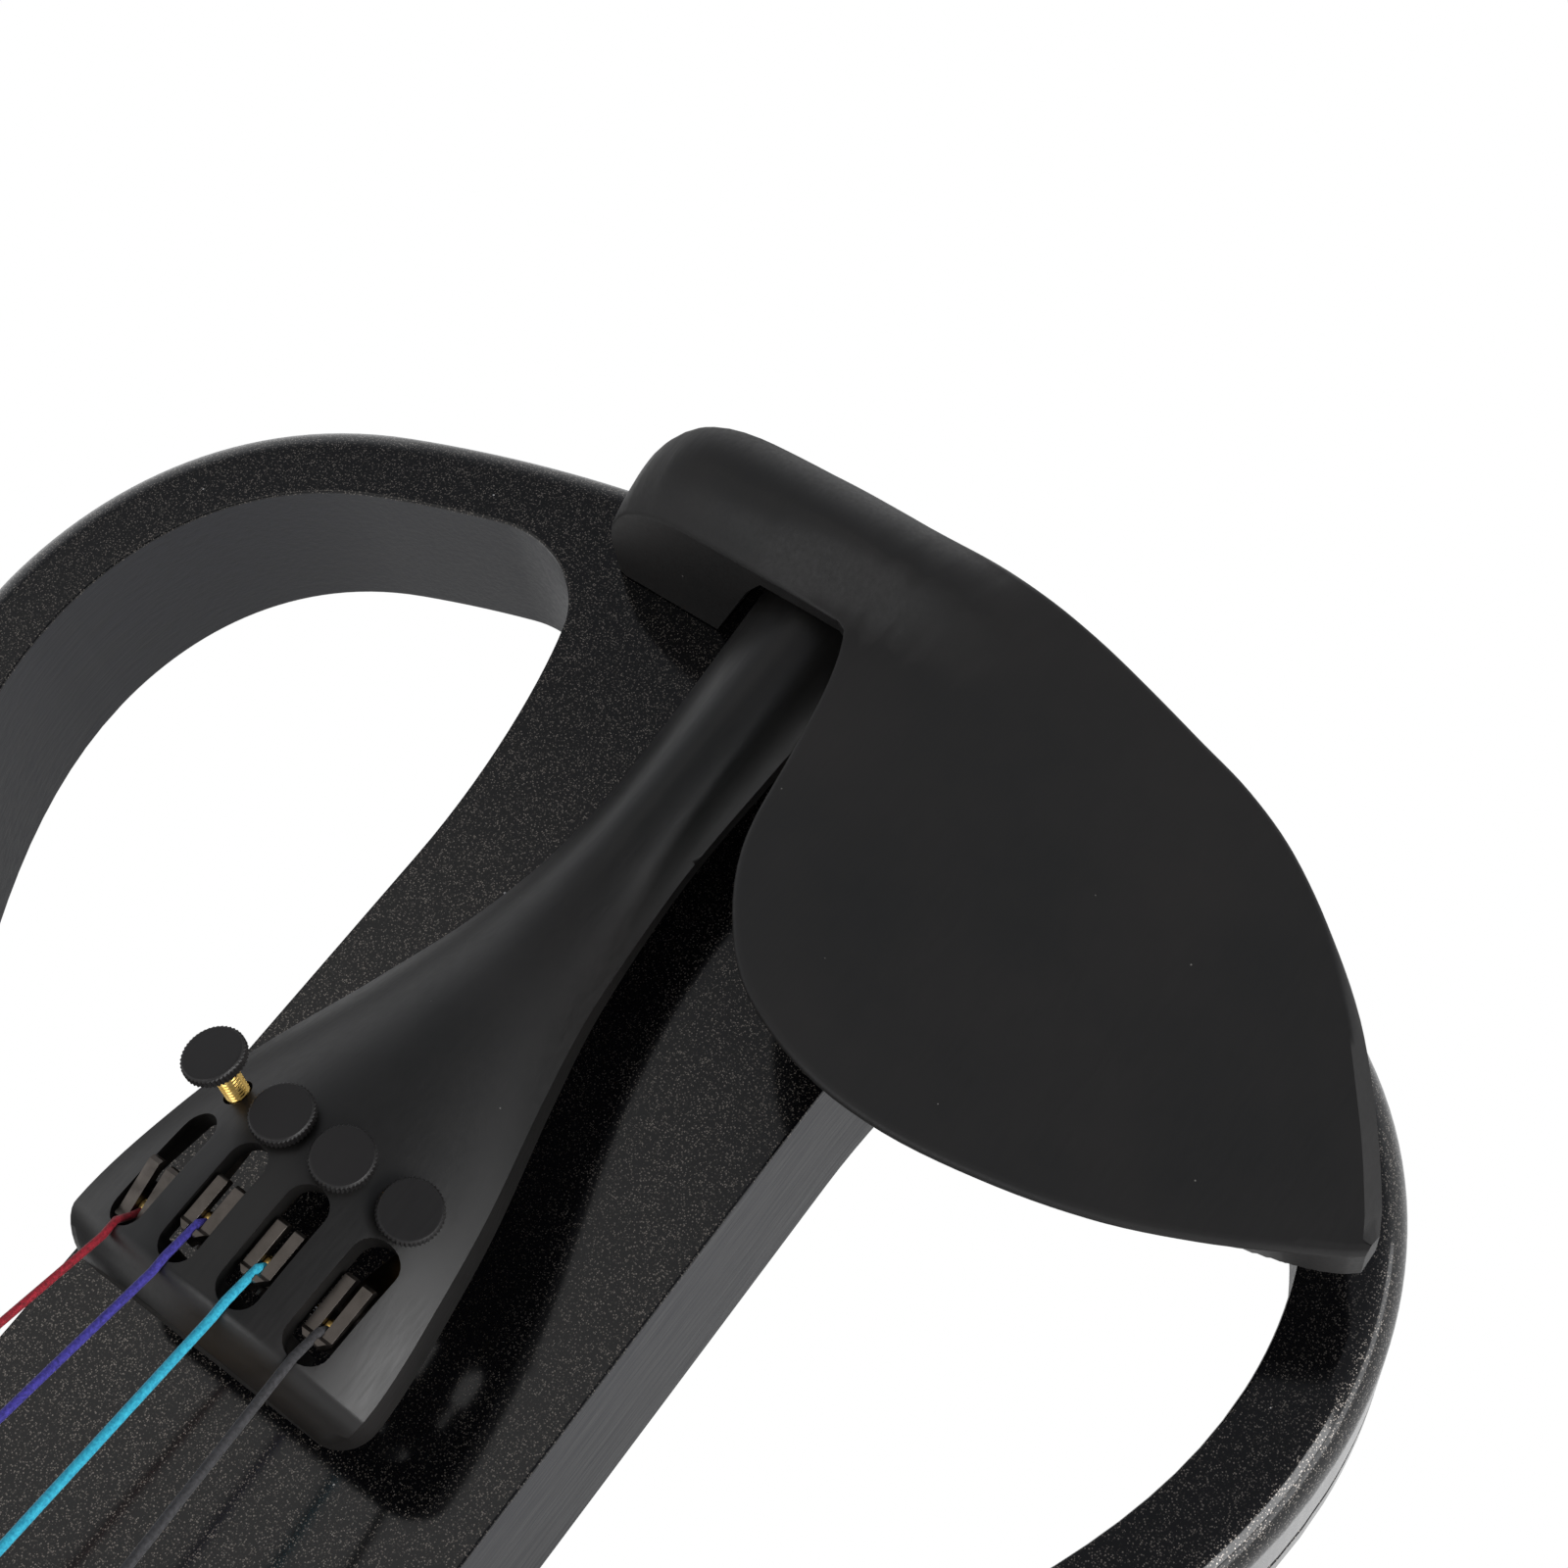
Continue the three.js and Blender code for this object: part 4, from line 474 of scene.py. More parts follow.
def silk(name, dark, light):
    """Dyed silk thread wound over the string: matte, finely ribbed, with a soft sheen and paler fuzz. The
    real thread is near 0.1 mm; drawn a third of a millimetre wide so that it shows."""
    made, tree = material(name, Roughness=0.75, Sheen_Weight=0.35, Sheen_Roughness=0.4)
    threads = mottled(tree, 3.0, 3, 0.6)
    colour = put(tree, "ValToRGB", {"Fac": threads}, {0.3: dark, 0.7: light})["Color"]
    return dress(made, colour, relief=(threads, 0.05, 0.6))


def bare_maple():
    """Maple cut on the quarter and left bare: short brown flecks over a pale straw colour."""
    made, tree = material("bare quartered maple", IOR=1.45, Roughness=0.55)
    flecks = mottled(tree, 1.6, 5, 0.7, (1, 1, 0.25))
    colour = put(tree, "ValToRGB", {"Fac": flecks}, {0.35: "#b98e5c", 0.62: "#dfbd8c"})["Color"]
    return dress(made, colour, relief=(flecks, 0.03, 0.4))


def cork():
    """Pressed cork: brown granules a millimetre or two across, with dark gaps."""
    made, tree = material("pressed cork", Roughness=0.85)
    granules = put(tree, "TexVoronoi", {"Vector": grain_place(tree), "Scale": 0.8})["Distance"]
    colour = put(tree, "ValToRGB", {"Fac": granules}, {0.0: "#a8794a", 0.8: "#4a2f1a"})["Color"]
    return dress(made, colour, relief=(granules, 0.2, 0.6))


def circuit():
    """Epoxy board with green solder mask: copper tracks show as paler lines."""
    made, tree = material("solder mask", IOR=1.5, Roughness=0.35)
    tracks = put(tree, "TexBrick", {
        "Vector": grain_place(tree), "Color1": linear("#124a2c"), "Color2": linear("#0f3f26"),
        "Mortar": linear("#2f7a4c"), "Scale": 0.25, "Mortar Size": 0.02})
    return dress(made, tracks["Color"])


LACQUER = flake_lacquer()
WALL = wall_lacquer()
NECK = ebonised("satin black lacquered maple", "#0c0c0d", "#121213", 0.3, 0.3)
EBONY = ebonised("ebonised maple", "#141415", "#1c1b1b", 0.42)
REST = ebonised("oiled ebonised maple", "#181818", "#211f1e", 0.5)
TAILPIECE = ebonised("rubbed ebonised maple", "#151514", "#201e1d", 0.38, 0.15)
PLASTIC = moulded("spark-textured ABS", "#121213")
BLACK_STEEL = metal("blackened steel", "#141415", "#232324", 0.34)
NICKEL = metal("bright nickel plate", "#a9a9ab", "#c8c8ca", 0.16)
CAN = metal("tinned steel", "#8f9092", "#b3b4b6", 0.35)
BRASS = metal("bright brass", "#d6a84a", "#ffdc8c", 0.2)
SCREW_BLACK = ebonised("black-oxide brass", "#1b1a1a", "#232121", 0.42)
LEVER = metal("blued spring steel", "#5d5853", "#7a736d", 0.34)
STEEL = metal("bare drawn steel", "#9fa0a3", "#cfd0d2", 0.2)
WOUND = metal("flat-wound alloy", "#8d8d90", "#bdbdc0", 0.3, 8.0)
PICKUP = metal("black anodised aluminium", "#101011", "#1a1a1b", 0.4)
MAPLE = bare_maple()
CORK = cork()
BOARD = circuit()
BATTERY = metal("printed tin", "#2b2d31", "#3a3d42", 0.4)
NYLON = moulded("extruded nylon", "#151515", 0.35, 3.0)
SILKS = {
    "g": silk("grey silk", "#232324", "#444346"),
    "d": silk("cyan silk", "#0a8fb2", "#38c6e2"),
    "a": silk("violet silk", "#1d1766", "#4a41b0"),
    "e": silk("red silk", "#6d0a18", "#c22036"),
}


# Body: one plank with four windows, rounded outside and barely broken inside

LOWER_HALF, LOWER_Y = 104, 63
BODY_LENGTH, NECK_END_HALF = 365, 24
WAIST_HALF, WAIST_Y = 56, 0.493 * BODY_LENGTH
UPPER_HALF, UPPER_Y = 83, 0.7945 * BODY_LENGTH
THICK = 25.5
TAIL_RADIUS, TAIL_ARC_HALF = 191, 72
ARM = 12
COLUMN_TREBLE, COLUMN_BASS = 27.8, 33.2
TOP_ROUND, BACK_ROUND = 4.5, 3
GROOVE_DROP, GROOVE_WIDE, GROOVE_DEEP = 17, 2.2, 1
OVERRUN, TOUCHING = 2, 0.01  # how far a cutter runs past a face, and what counts as on a plane
CURVE_STEPS = 28


def half_outline():
    """The treble half of the body's edge, from the tail to the neck."""
    turn = math.asin(TAIL_ARC_HALF / TAIL_RADIUS)
    arc_end = TAIL_RADIUS * (1 - math.cos(turn))
    arc = evenly(0, turn, CURVE_STEPS)
    points = [(TAIL_RADIUS * math.sin(a), TAIL_RADIUS * (1 - math.cos(a))) for a in arc]
    corner_pull, side_pull, lower_pull, waist_pull, upper_pull, shoulder_reach = 24, 20, 45, 37, 40, 28
    runs = [
        ((TAIL_ARC_HALF + math.cos(turn) * corner_pull, arc_end + math.sin(turn) * corner_pull),
         (LOWER_HALF, LOWER_Y - side_pull), (LOWER_HALF, LOWER_Y)),
        ((LOWER_HALF, LOWER_Y + lower_pull), (WAIST_HALF, WAIST_Y - waist_pull), (WAIST_HALF, WAIST_Y)),
        ((WAIST_HALF, WAIST_Y + waist_pull), (UPPER_HALF, UPPER_Y - upper_pull), (UPPER_HALF, UPPER_Y)),
        ((UPPER_HALF, UPPER_Y + upper_pull), (NECK_END_HALF + shoulder_reach, BODY_LENGTH),
         (NECK_END_HALF, BODY_LENGTH)),
    ]
    for run in runs:
        points += bezier(points[-1], *run, CURVE_STEPS)
    return points


HALF_OUTLINE = half_outline()
OUTLINE = HALF_OUTLINE + mirrored(HALF_OUTLINE[1:])


def arm_edge(from_y, to_y, from_x):
    """The part of the arms' inner edge between two distances from the tail."""
    inner = inset_loop(OUTLINE, ARM)[:len(HALF_OUTLINE)]
    return [p for p in inner if from_y < p[1] < to_y and p[0] > from_x]


TIP_REACH, TAIL_PULL, FLARE_OUT, FLARE_START = 11, 8, 5.6, 64
WINDOW_TAIL, WINDOW_CORNER = 18.4, 27.8
WEB_TAIL, WEB_NECK, SHOULDER_BLOCK = 0.444 * BODY_LENGTH, 0.5425 * BODY_LENGTH, 0.871 * BODY_LENGTH


def lower_window(column):
    corner = column + FLARE_OUT
    rim = arm_edge(WINDOW_TAIL, WEB_TAIL - TIP_REACH, corner + 2 * TAIL_PULL)
    run = (Vector(rim[0]) - Vector(rim[1])).normalized() * TAIL_PULL
    points = [(column, WEB_TAIL - TIP_REACH), (column, FLARE_START)]
    points += bezier(
        points[-1], (column, FLARE_START - 1.75 * TAIL_PULL),
        (column + FLARE_OUT / 2, WINDOW_CORNER + TAIL_PULL), (corner, WINDOW_CORNER), 14)
    points += bezier(
        points[-1], (corner + TAIL_PULL / 4, WINDOW_CORNER - 0.8 * TAIL_PULL),
        (rim[0][0] + run.x, rim[0][1] + run.y), rim[0], 22)
    points += rim[1:]
    x, y = rim[-1]
    points += bezier(
        points[-1], (x - TIP_REACH / 2, y + TIP_REACH), (column, WEB_TAIL + TIP_REACH / 3), points[0],
        20)[:-1]
    return points


def upper_window(column):
    rim = arm_edge(WEB_NECK + TIP_REACH, SHOULDER_BLOCK + TIP_REACH, column)
    (x0, y0), (x1, y1) = rim[0], rim[-1]
    points = [(column, SHOULDER_BLOCK - TIP_REACH), (column, WEB_NECK + TIP_REACH)]
    points += bezier(
        points[-1], (column, WEB_NECK - TIP_REACH / 3), (x0 - TIP_REACH / 3, y0 - TIP_REACH), rim[0], 20)
    points += rim[1:]
    points += bezier(
        points[-1], (x1 - TIP_REACH, y1 + TIP_REACH / 2), (column, SHOULDER_BLOCK + TIP_REACH / 2), points[0],
        20)[:-1]
    return points


def window_tools():
    tools = []
    for draw in (lower_window, upper_window):
        for side, column in ((1, COLUMN_TREBLE), (-1, COLUMN_BASS)):
            outline = [(side * x, y) for x, y in draw(column)]
            tools.append(prism("window", outline, -THICK - OVERRUN, OVERRUN))
    return tools


# Pockets in the back, and holes for controls, read off the CAD pieces that they hold
SEAT, PLAY = 0.3, 0.35
CAVITY_DEEP, CAVITY_RIM, BATTERY_RIM = 18, 3.4, 2.4
BLOCK_WALL = 4.6
BUTTON_BORE, KNOB_BORE, JACK_BORE, LEAD_BORE, LEAD_HALF = 3.8, 3, 4, 1.8, 0.9


def around(node):
    """A CAD piece's extents along x, y and z, with the seat's gap on every side."""
    low, high = box(node)
    return [(a - SEAT, b + SEAT) for a, b in zip(low, high)]


def recess(node):
    """A seat in the back for a cover."""
    xs, ys, zs = around(node)
    return brick("recess", xs, ys, (-THICK - OVERRUN, zs[1]))


def pocket(node, rim, deep):
    low, high = box(node)
    return brick("pocket", (low.x + rim, high.x - rim), (low.y + rim, high.y - rim), (-THICK - OVERRUN, deep))


def side_hole(node, radius, side):
    low, high = box(node)
    wall = COLUMN_TREBLE if side > 0 else -COLUMN_BASS
    across = ((low.y + high.y) / 2, (low.z + high.z) / 2)
    ends = sorted((wall + side * OVERRUN, wall - side * (BLOCK_WALL + OVERRUN)))
    return pin("hole", radius + PLAY, *ends, across, "x")


def body_tools():
    _, plate_y, plate_z = around("jack_plate")
    _, case_y, case_z = around("power_switch")
    saddle_x, saddle_y, saddle_z = around("saddle")
    lead = box("pickup_lead")[1]
    return [
        recess("control_cover"),
        pocket("control_cover", CAVITY_RIM, CAVITY_DEEP - THICK),
        recess("battery_door"),
        pocket("battery_door", BATTERY_RIM, around("battery")[2][1]),
        side_hole("volume_knob", KNOB_BORE, 1),
        side_hole("tone_knob", KNOB_BORE, 1),
        side_hole("headphone_jack", JACK_BORE, -1),
        brick("notch", (box("jack_plate")[0].x - OVERRUN, COLUMN_TREBLE + OVERRUN), plate_y,
              (-THICK - OVERRUN, plate_z[1])),
        brick("slot", (box("power_switch")[0].x - OVERRUN, -COLUMN_BASS + BLOCK_WALL + OVERRUN), case_y,
              case_z),
        pin("bore", BUTTON_BORE + PLAY, -OVERRUN, box("end_button")[1].y + 1, (0, -THICK / 2), "y"),
        brick("seat", saddle_x, (-OVERRUN, saddle_y[1]), (saddle_z[0], OVERRUN)),
        pin("lead_hole", LEAD_BORE, -CAVITY_DEEP, OVERRUN, (lead.x - LEAD_HALF, lead.y - LEAD_HALF)),
    ]


def make_body():
    """A plank drawn up from its back in steps, so that the groove's middle can be drawn in round its edge."""
    groove_half = GROOVE_WIDE / 2
    piece = prism("body_plank", OUTLINE, -THICK, -GROOVE_DROP - groove_half)
    steps = [extruded((0, 0, by)) for by in (groove_half, groove_half, GROOVE_DROP - groove_half)]
    edit(piece, *steps, chosen=lambda place: place.z > -GROOVE_DROP - GROOVE_WIDE)
    grooved = list(zip(OUTLINE, inset_loop(OUTLINE, GROOVE_DEEP)))
    for vertex in piece.data.vertices:
        if abs(vertex.co.z + GROOVE_DROP) < TOUCHING:
            place = vertex.co.xy
            vertex.co.x, vertex.co.y = min(grooved, key=lambda pair: math.dist(pair[0], place))[1]

    def edge_share(a, b):
        if min(a.z, b.z) > -TOUCHING:
            return 1
        return BACK_ROUND / TOP_ROUND if max(a.z, b.z) < TOUCHING - THICK else 0

    soften_some(piece, TOP_ROUND, edge_share, 9)
    carve(piece, *window_tools(), *body_tools())
    tidy_faces(piece)
    soften(piece, 0.4, 2, 60)
    shade(piece, 32)
    settle(piece, [LACQUER, WALL], replaces=["body"])
    paint_walls(piece)


def paint_walls(piece):
    """The windows' walls get the satin finish; the rest keeps the flake."""
    for face in piece.data.polygons:
        place = local(face.center)
        upright = abs(face.normal.z) < 0.3 and -THICK < place.z < -0.2
        from_edge = min(math.hypot(place.x - x, place.y - y) for x, y in OUTLINE) if upright else 0
        face.material_index = 1 if from_edge > ARM - 1.5 else 0


# Chinrest: one carved piece, a dished plate joined over the tailpiece to a domed treble end

REST_TOP, REST_THICK, REST_DISH, REST_EDGE, FRONT_EDGE, TIP_EDGE = 24, 6.2, 1.4, 1.1, 0.45, 2
UNDERCUT, UNDERCUT_FROM = 4.4, 0.68  # the plate's near wall leans in below this share of its height
CROWN_TOP, CROWN_EDGE, ARCH_MIDDLE, ARCH_HALF = 26.9, 21.5, 8.5, 8.5
DOME_START, DOME_REACH, DOME_POWER = 15, 18, 2.5
FOOT_BASS, FOOT_MIDDLE, FOOT_TREBLE = -31, -12, 15.9
TUNNEL_TOP, TUNNEL_SHOULDER = 19, 15
NOTCH, TIP_BELOW = -7, -76
# Ribs from the rear edge to the near edge, from the treble end to the tip
RIBS = [
    (33, 13, 33, 15.4), (32.6, 11.2, 32.6, 16.5), (31.2, 9.1, 31.6, 17), (28, 6.6, 28.5, 17), (24, 3.4, 23, 17),
    (17.2, 0.9, 16.2, 17), (7, -0.3, 7, 17), (-4, -0.4, -4.4, 17), (-9, -0.2, -7, 17.6), (-15, 0.1, -9.6, 24.2),
    (-21, 0.8, -11.8, 35), (-28.5, 2, -14, 46.4), (-35.4, 3.5, -18.2, 54.4), (-43.2, 5.7, -25.5, 61.8),
    (-51, 8.1, -36.3, 66.2), (-59, 10.6, -48, 67.2), (-67, 14.4, -61, 65.5), (-75.6, 20.5, -72.7, 62.5),
    (-83.5, 27.5, -82.5, 58.5), (-90.4, 36, -90.4, 54.4), (-95.8, 44, -95.8, 51.4), (-97.4, 47.2, -97.4, 50.2),
]
RIM_TURNS = (0, 0.2, 0.42, 0.7, 1)
RIM_PART, LEAST_SLANT, TOP_STEPS = 0.3, 0.45, 21  # the most of a rib that an edge takes, and its least slant


def rest_height(x, y):
    """The top surface over a place in plan."""
    away = math.hypot((x + 52) / 42, (y - 37) / 27)
    plate = REST_TOP - REST_DISH * max(0, 1 - away * away) ** 1.5
    across = min(1, abs(y - ARCH_MIDDLE) / ARCH_HALF)
    fall = across ** 2.2
    if y > ARCH_MIDDLE:
        crisp = smoothstep(-6, 12, x)
        fall = crisp * fall + (1 - crisp) * smoothstep(0, 1, across)
    arch = CROWN_TOP - (CROWN_TOP - CROWN_EDGE) * fall
    if x > DOME_START:
        u = min(1, (x - DOME_START) / DOME_REACH)
        arch = SEAT + (arch - SEAT) * (1 - u ** DOME_POWER) ** (1 / DOME_POWER)
    blend = smoothstep(-34, -4, x)
    return (1 - blend) * plate + blend * arch


def along(shares, share):
    """A smooth value between (place, value) pairs, level where the pairs are."""
    share = min(1, max(0, share))
    last = len(shares) - 1
    i = next(k for k in range(last) if share <= shares[k + 1][0])
    slopes = []
    for k in (i, i + 1):
        before, after = shares[max(0, k - 1)], shares[min(last, k + 1)]
        slopes.append((after[1] - before[1]) / (after[0] - before[0]))
    (x0, v0), (x1, v1) = shares[i], shares[i + 1]
    t, run = (share - x0) / (x1 - x0), x1 - x0
    return ((2 * t ** 3 - 3 * t ** 2 + 1) * v0 + (t ** 3 - 2 * t ** 2 + t) * run * slopes[0]
            + (3 * t ** 2 - 2 * t ** 3) * v1 + (t ** 3 - t ** 2) * run * slopes[1])


def smooth_ribs(count):
    """Many ribs along a smooth curve through the measured ones."""
    places = [0]
    for a, b in zip(RIBS, RIBS[1:]):
        places.append(places[-1] + math.dist(a[:2], b[:2]) + math.dist(a[2:], b[2:]))
    columns = [[(place / places[-1], rib[k]) for place, rib in zip(places, RIBS)] for k in range(4)]
    shares = sorted(set(evenly(0, 1, count)) | {p / places[-1] for p in places})
    shares = [s for s, after in zip(shares, shares[1:] + [2]) if after - s > 0.3 / count]
    return [[along(column, share) for column in columns] for share in shares]


def rib_section(before, rib, after):
    """A rib's closed ring: its foot, the near wall that leans in, and the top between two round edges."""
    rear_x, rear_y, near_x, near_y = rib
    rear, near = Vector((rear_x, rear_y)), Vector((near_x, near_y))
    run = rear - near
    slants = []
    for k in (2, 0):
        edge = Vector((after[k] - before[k], after[k + 1] - before[k + 1]))
        slants.append(max(LEAST_SLANT, abs(edge.normalized().cross(run.normalized()))))
    room = min(REST_EDGE, run.length * RIM_PART)
    front = REST_EDGE + (FRONT_EDGE - REST_EDGE) * smoothstep(-11, -7, near_x)
    tip = smoothstep(-72, -88, rear_x)
    wide = REST_EDGE + (TIP_EDGE - REST_EDGE) * tip
    bevel = min(wide, run.length * RIM_PART)
    near_rim, rear_rim = [], []
    for turn in RIM_TURNS:
        a = turn * math.pi / 2
        inset = min(front, room) * (1 - math.cos(a)) / slants[0] / run.length
        near_rim.append((inset, front * (1 - math.sin(a))))
        inset = (1 - tip) * (1 - math.cos(a)) + tip * turn
        drop = (1 - tip) * (1 - math.sin(a)) + tip * 0.85 * (1 - turn)
        rear_rim.append((1 - bevel * inset / slants[1] / run.length, wide * drop))
    first, last = near_rim[-1][0], rear_rim[-1][0]
    middle = [(share, 0) for share in evenly(first, last, TOP_STEPS)[1:-1]]
    lean = min(UNDERCUT, run.length * RIM_PART)
    lean = lean * (1 - smoothstep(-18, -9, near_x)) * smoothstep(-96, -76, near_x)
    foot = near + run.normalized() * lean / slants[0]
    edge_z = rest_height(*near) - front
    ring = [(*rear, SEAT), (*foot, SEAT), (*foot, SEAT + UNDERCUT_FROM * max(0.4, edge_z - SEAT))]
    for share, drop in near_rim + middle + rear_rim[::-1]:
        place = near + run * share
        ring.append((*place, max(SEAT + 0.4, rest_height(*place) - drop)))
    return ring


def make_chinrest():
    ribs = smooth_ribs(84)
    rings = [rib_section(*three) for three in zip([ribs[0]] + ribs, ribs, ribs[1:] + [ribs[-1]])]
    piece = loft("chinrest_carved", rings)
    under = REST_TOP - REST_THICK
    front = ARCH_MIDDLE + ARCH_HALF
    below = [(-120, -20), (FOOT_BASS, -20), (FOOT_BASS, front), (NOTCH, front), (NOTCH, 80), (-120, 80)]
    tunnel = [
        (FOOT_TREBLE, -OVERRUN), (FOOT_TREBLE, SEAT), (9.1, TUNNEL_SHOULDER), (6.4, TUNNEL_TOP),
        (-7.2, TUNNEL_TOP), (-10.8, TUNNEL_SHOULDER), (FOOT_MIDDLE, -OVERRUN),
    ]
    carve(piece, prism("under", below, -OVERRUN, under), prism("tunnel", tunnel, -4, 21, "y"))
    for side in ("bass", "treble"):
        xs, ys, _ = around("clamp_bracket_" + side)
        carve(piece, brick("bed", xs, (-4, ys[1]), (-OVERRUN, 2.6 + SEAT)))
    tidy_faces(piece, merge=0.05)

    def rim_below(a, b):
        on_plane = max(abs(a.z - under), abs(b.z - under)) < TOUCHING
        clear = max(a.x, b.x) < FOOT_BASS - 1 or min(a.y, b.y) > front + 1
        return 1 if on_plane and clear and min(a.x, b.x) > TIP_BELOW else 0

    soften_some(piece, 0.8, rim_below, 2)
    shade(piece, 38)
    settle(piece, REST, replaces=["chinrest"])


# Tailpiece: a stem that swells to an arched string end, hollow below, with four slots

TAIL_START, TAIL_LONG, TAIL_HALF, TAIL_TOP, TAIL_WALL = 11, 116, 21.3, 28.5, 2.2
SLOT_SPACING, SLOT_WIDE, SLOT_TAIL, SLOT_FRONT = 8.67, 5, 107.2, 122.6
SCREW_ROW, END_CORNER, RIDGE_FACE, GUT_HALF, GUT_Z = 103.5, 4.5, 4.6, 3.6, 12.7
HALF_SHARES = [(0, 0.42), (0.034, 0.408), (0.207, 0.357), (0.362, 0.347), (0.509, 0.446), (0.62, 0.601),
               (0.759, 0.831), (0.871, 0.953), (0.94, 1), (1, 1)]
CROWN_SHARES = [(0, 0.6), (0.052, 0.614), (0.207, 0.59), (0.414, 0.582), (0.509, 0.64), (0.62, 0.79),
                (0.724, 0.92), (0.836, 1), (1, 1)]
EDGE_SHARES = [(0, 0.42), (0.4, 0.42), (0.6, 0.55), (0.8, 0.67), (1, 0.69)]
UNDER_SHARES = [(0, 0.35), (0.4, 0.35), (0.6, 0.42), (0.8, 0.5), (1, 0.51)]


def tail_size(shares, full, y):
    return full * along(shares, (y - TAIL_START) / TAIL_LONG)


def tail_height(x, y):
    crown, edge = tail_size(CROWN_SHARES, TAIL_TOP, y), tail_size(EDGE_SHARES, TAIL_TOP, y)
    return crown - (crown - edge) * (x / tail_size(HALF_SHARES, TAIL_HALF, y)) ** 2


def tail_section(y, inset=0.0, lower=0.0, below=0.0):
    """A closed ring across the tailpiece, drawn in at its sides, lowered at its top and run on below."""
    full = tail_size(HALF_SHARES, TAIL_HALF, y)
    half, under = full - inset, tail_size(UNDER_SHARES, TAIL_TOP, y) - below
    ring = [(-half, y, under), (half, y, under)]
    for share in evenly(1, -1, 28):
        x = half * share
        ring.append((x, y, tail_height(x * full / half, y) - lower))
    return ring


def string_row(i, spacing):
    """How far a string is from the middle, where the strings are this far apart."""
    return (i - 1.5) * spacing


def slot_tools(i, name):
    """What a string and its tuner take out of the tailpiece: a slot, a groove in the ridge, a screw hole."""
    x, radius = string_row(i, SLOT_SPACING), SLOT_WIDE / 2
    track = []
    for y, start in ((SLOT_TAIL + radius, math.pi), (SLOT_FRONT - radius, 0)):
        half_turn = evenly(start, start + math.pi, 12)
        track += [(x + radius * math.cos(a), y + radius * math.sin(a)) for a in half_turn]
    bore = pin("screw_hole", SCREW_SHANK / 2 + PLAY, -20, 5, (0, 0))
    bore.data.transform(screw_place(name, 0))
    groove = string_tube("groove", string_stops(i, name)[2:5], GAUGES[i] / 2 + 0.1)
    return [prism("slot", track, 0, TAIL_TOP + OVERRUN), groove, bore]


def make_tailpiece():
    straight = TAIL_START + TAIL_LONG - END_CORNER
    rings = [tail_section(y) for y in evenly(TAIL_START, straight, 64)]
    for turn in (0.12, 0.25, 0.4, 0.55, 0.7, 0.82, 0.92, 0.98, 1):
        inset, lower = END_CORNER * (1 - math.sqrt(1 - turn ** 2)), RIDGE_FACE * max(0, turn - 0.12) ** 1.5
        rings.append(tail_section(straight + END_CORNER * turn, inset, lower))
    piece = loft("tailpiece_shell", rings)
    hollow = [tail_section(y, TAIL_WALL, TAIL_WALL, OVERRUN)
              for y in (SCREW_ROW - 9.7, SLOT_TAIL, SLOT_FRONT - TAIL_WALL)]
    tools = [loft("hollow", hollow)]
    for i, name in enumerate(NAMES):
        tools += slot_tools(i, name)
    for x in (-GUT_HALF, GUT_HALF):
        tools.append(pin("gut_hole", 1.5, TAIL_START - OVERRUN, TAIL_START + 8.3, (x, GUT_Z), "y", 24))
    carve(piece, *tools)
    tidy_faces(piece)
    soften(piece, 0.3, 3, 38, clamp=True)
    shade(piece, 30)
    settle(piece, TAILPIECE, replaces=["tailpiece"])


# Fine tuners: a knurled head and a threaded screw that presses on the long arm of a forked lever

SCREW_HEAD, SCREW_HEAD_TALL, SCREW_SHANK, SCREW_LONG = 7.5, 1.5, 2.9, 11
SCREW_PITCH, THREAD_DEEP, SCREW_TIP = 0.5, 0.28, 1.4
KNURLS, KNURL_DEEP = 46, 0.2
RAISED = {"g": 0, "d": 0, "a": 0, "e": 4.8}  # how far each screw is backed out in the photograph
LEVER_SWING = 13 * 1.06  # from the pin to the screw's contact


def screw_place(name, raised=None):
    """Where a tuner's head sits, with Z along its screw: as it stands now unless a height is given."""
    place, axis = joint_of("tuner_" + name + "_turn")
    turn = axis.to_track_quat("Z", "Y").to_matrix().to_4x4()
    return Matrix.Translation(place + axis * (RAISED[name] if raised is None else raised)) @ turn


def ring_of(radius_at, height, points):
    """A level ring whose radius follows radius_at(angle, number of the point)."""
    spokes = [(radius_at(a, k), a) for k, a in enumerate(angles_round(points))]
    return [(radius * math.cos(a), radius * math.sin(a), height) for radius, a in spokes]


# A head's height, how far its edge is drawn in, and the share of the knurls' depth
HEAD_PROFILE = ((0, 0.4, 0), (0.16, 0, 1), (1.14, 0, 1), (1.32, 0.16, 0.6), (1.44, 0.34, 0), (1.5, 0.55, 0))


def make_screw_head(name):
    full, rings = SCREW_HEAD / 2, []
    for height, inset, cut in HEAD_PROFILE:
        rings.append(ring_of(lambda a, k: full - inset - KNURL_DEEP * cut * (k % 2), height, 2 * KNURLS))
    piece = loft("screw_head_" + name, rings)
    carve(piece, pin("bore", SCREW_SHANK / 2 + 0.17, -OVERRUN, SCREW_HEAD_TALL / 2, (0, 0)))
    shade(piece, 24)
    piece.data.transform(screw_place(name))
    settle(piece, SCREW_BLACK, "tuner_head_" + name, ["tuner_head_" + name])


def thread_dip(z, angle):
    """How deep the thread is at a height and an angle, from 0 at its crest to 1 at its root."""
    return abs(2 * ((z / SCREW_PITCH - angle / (2 * math.pi)) % 1) - 1)


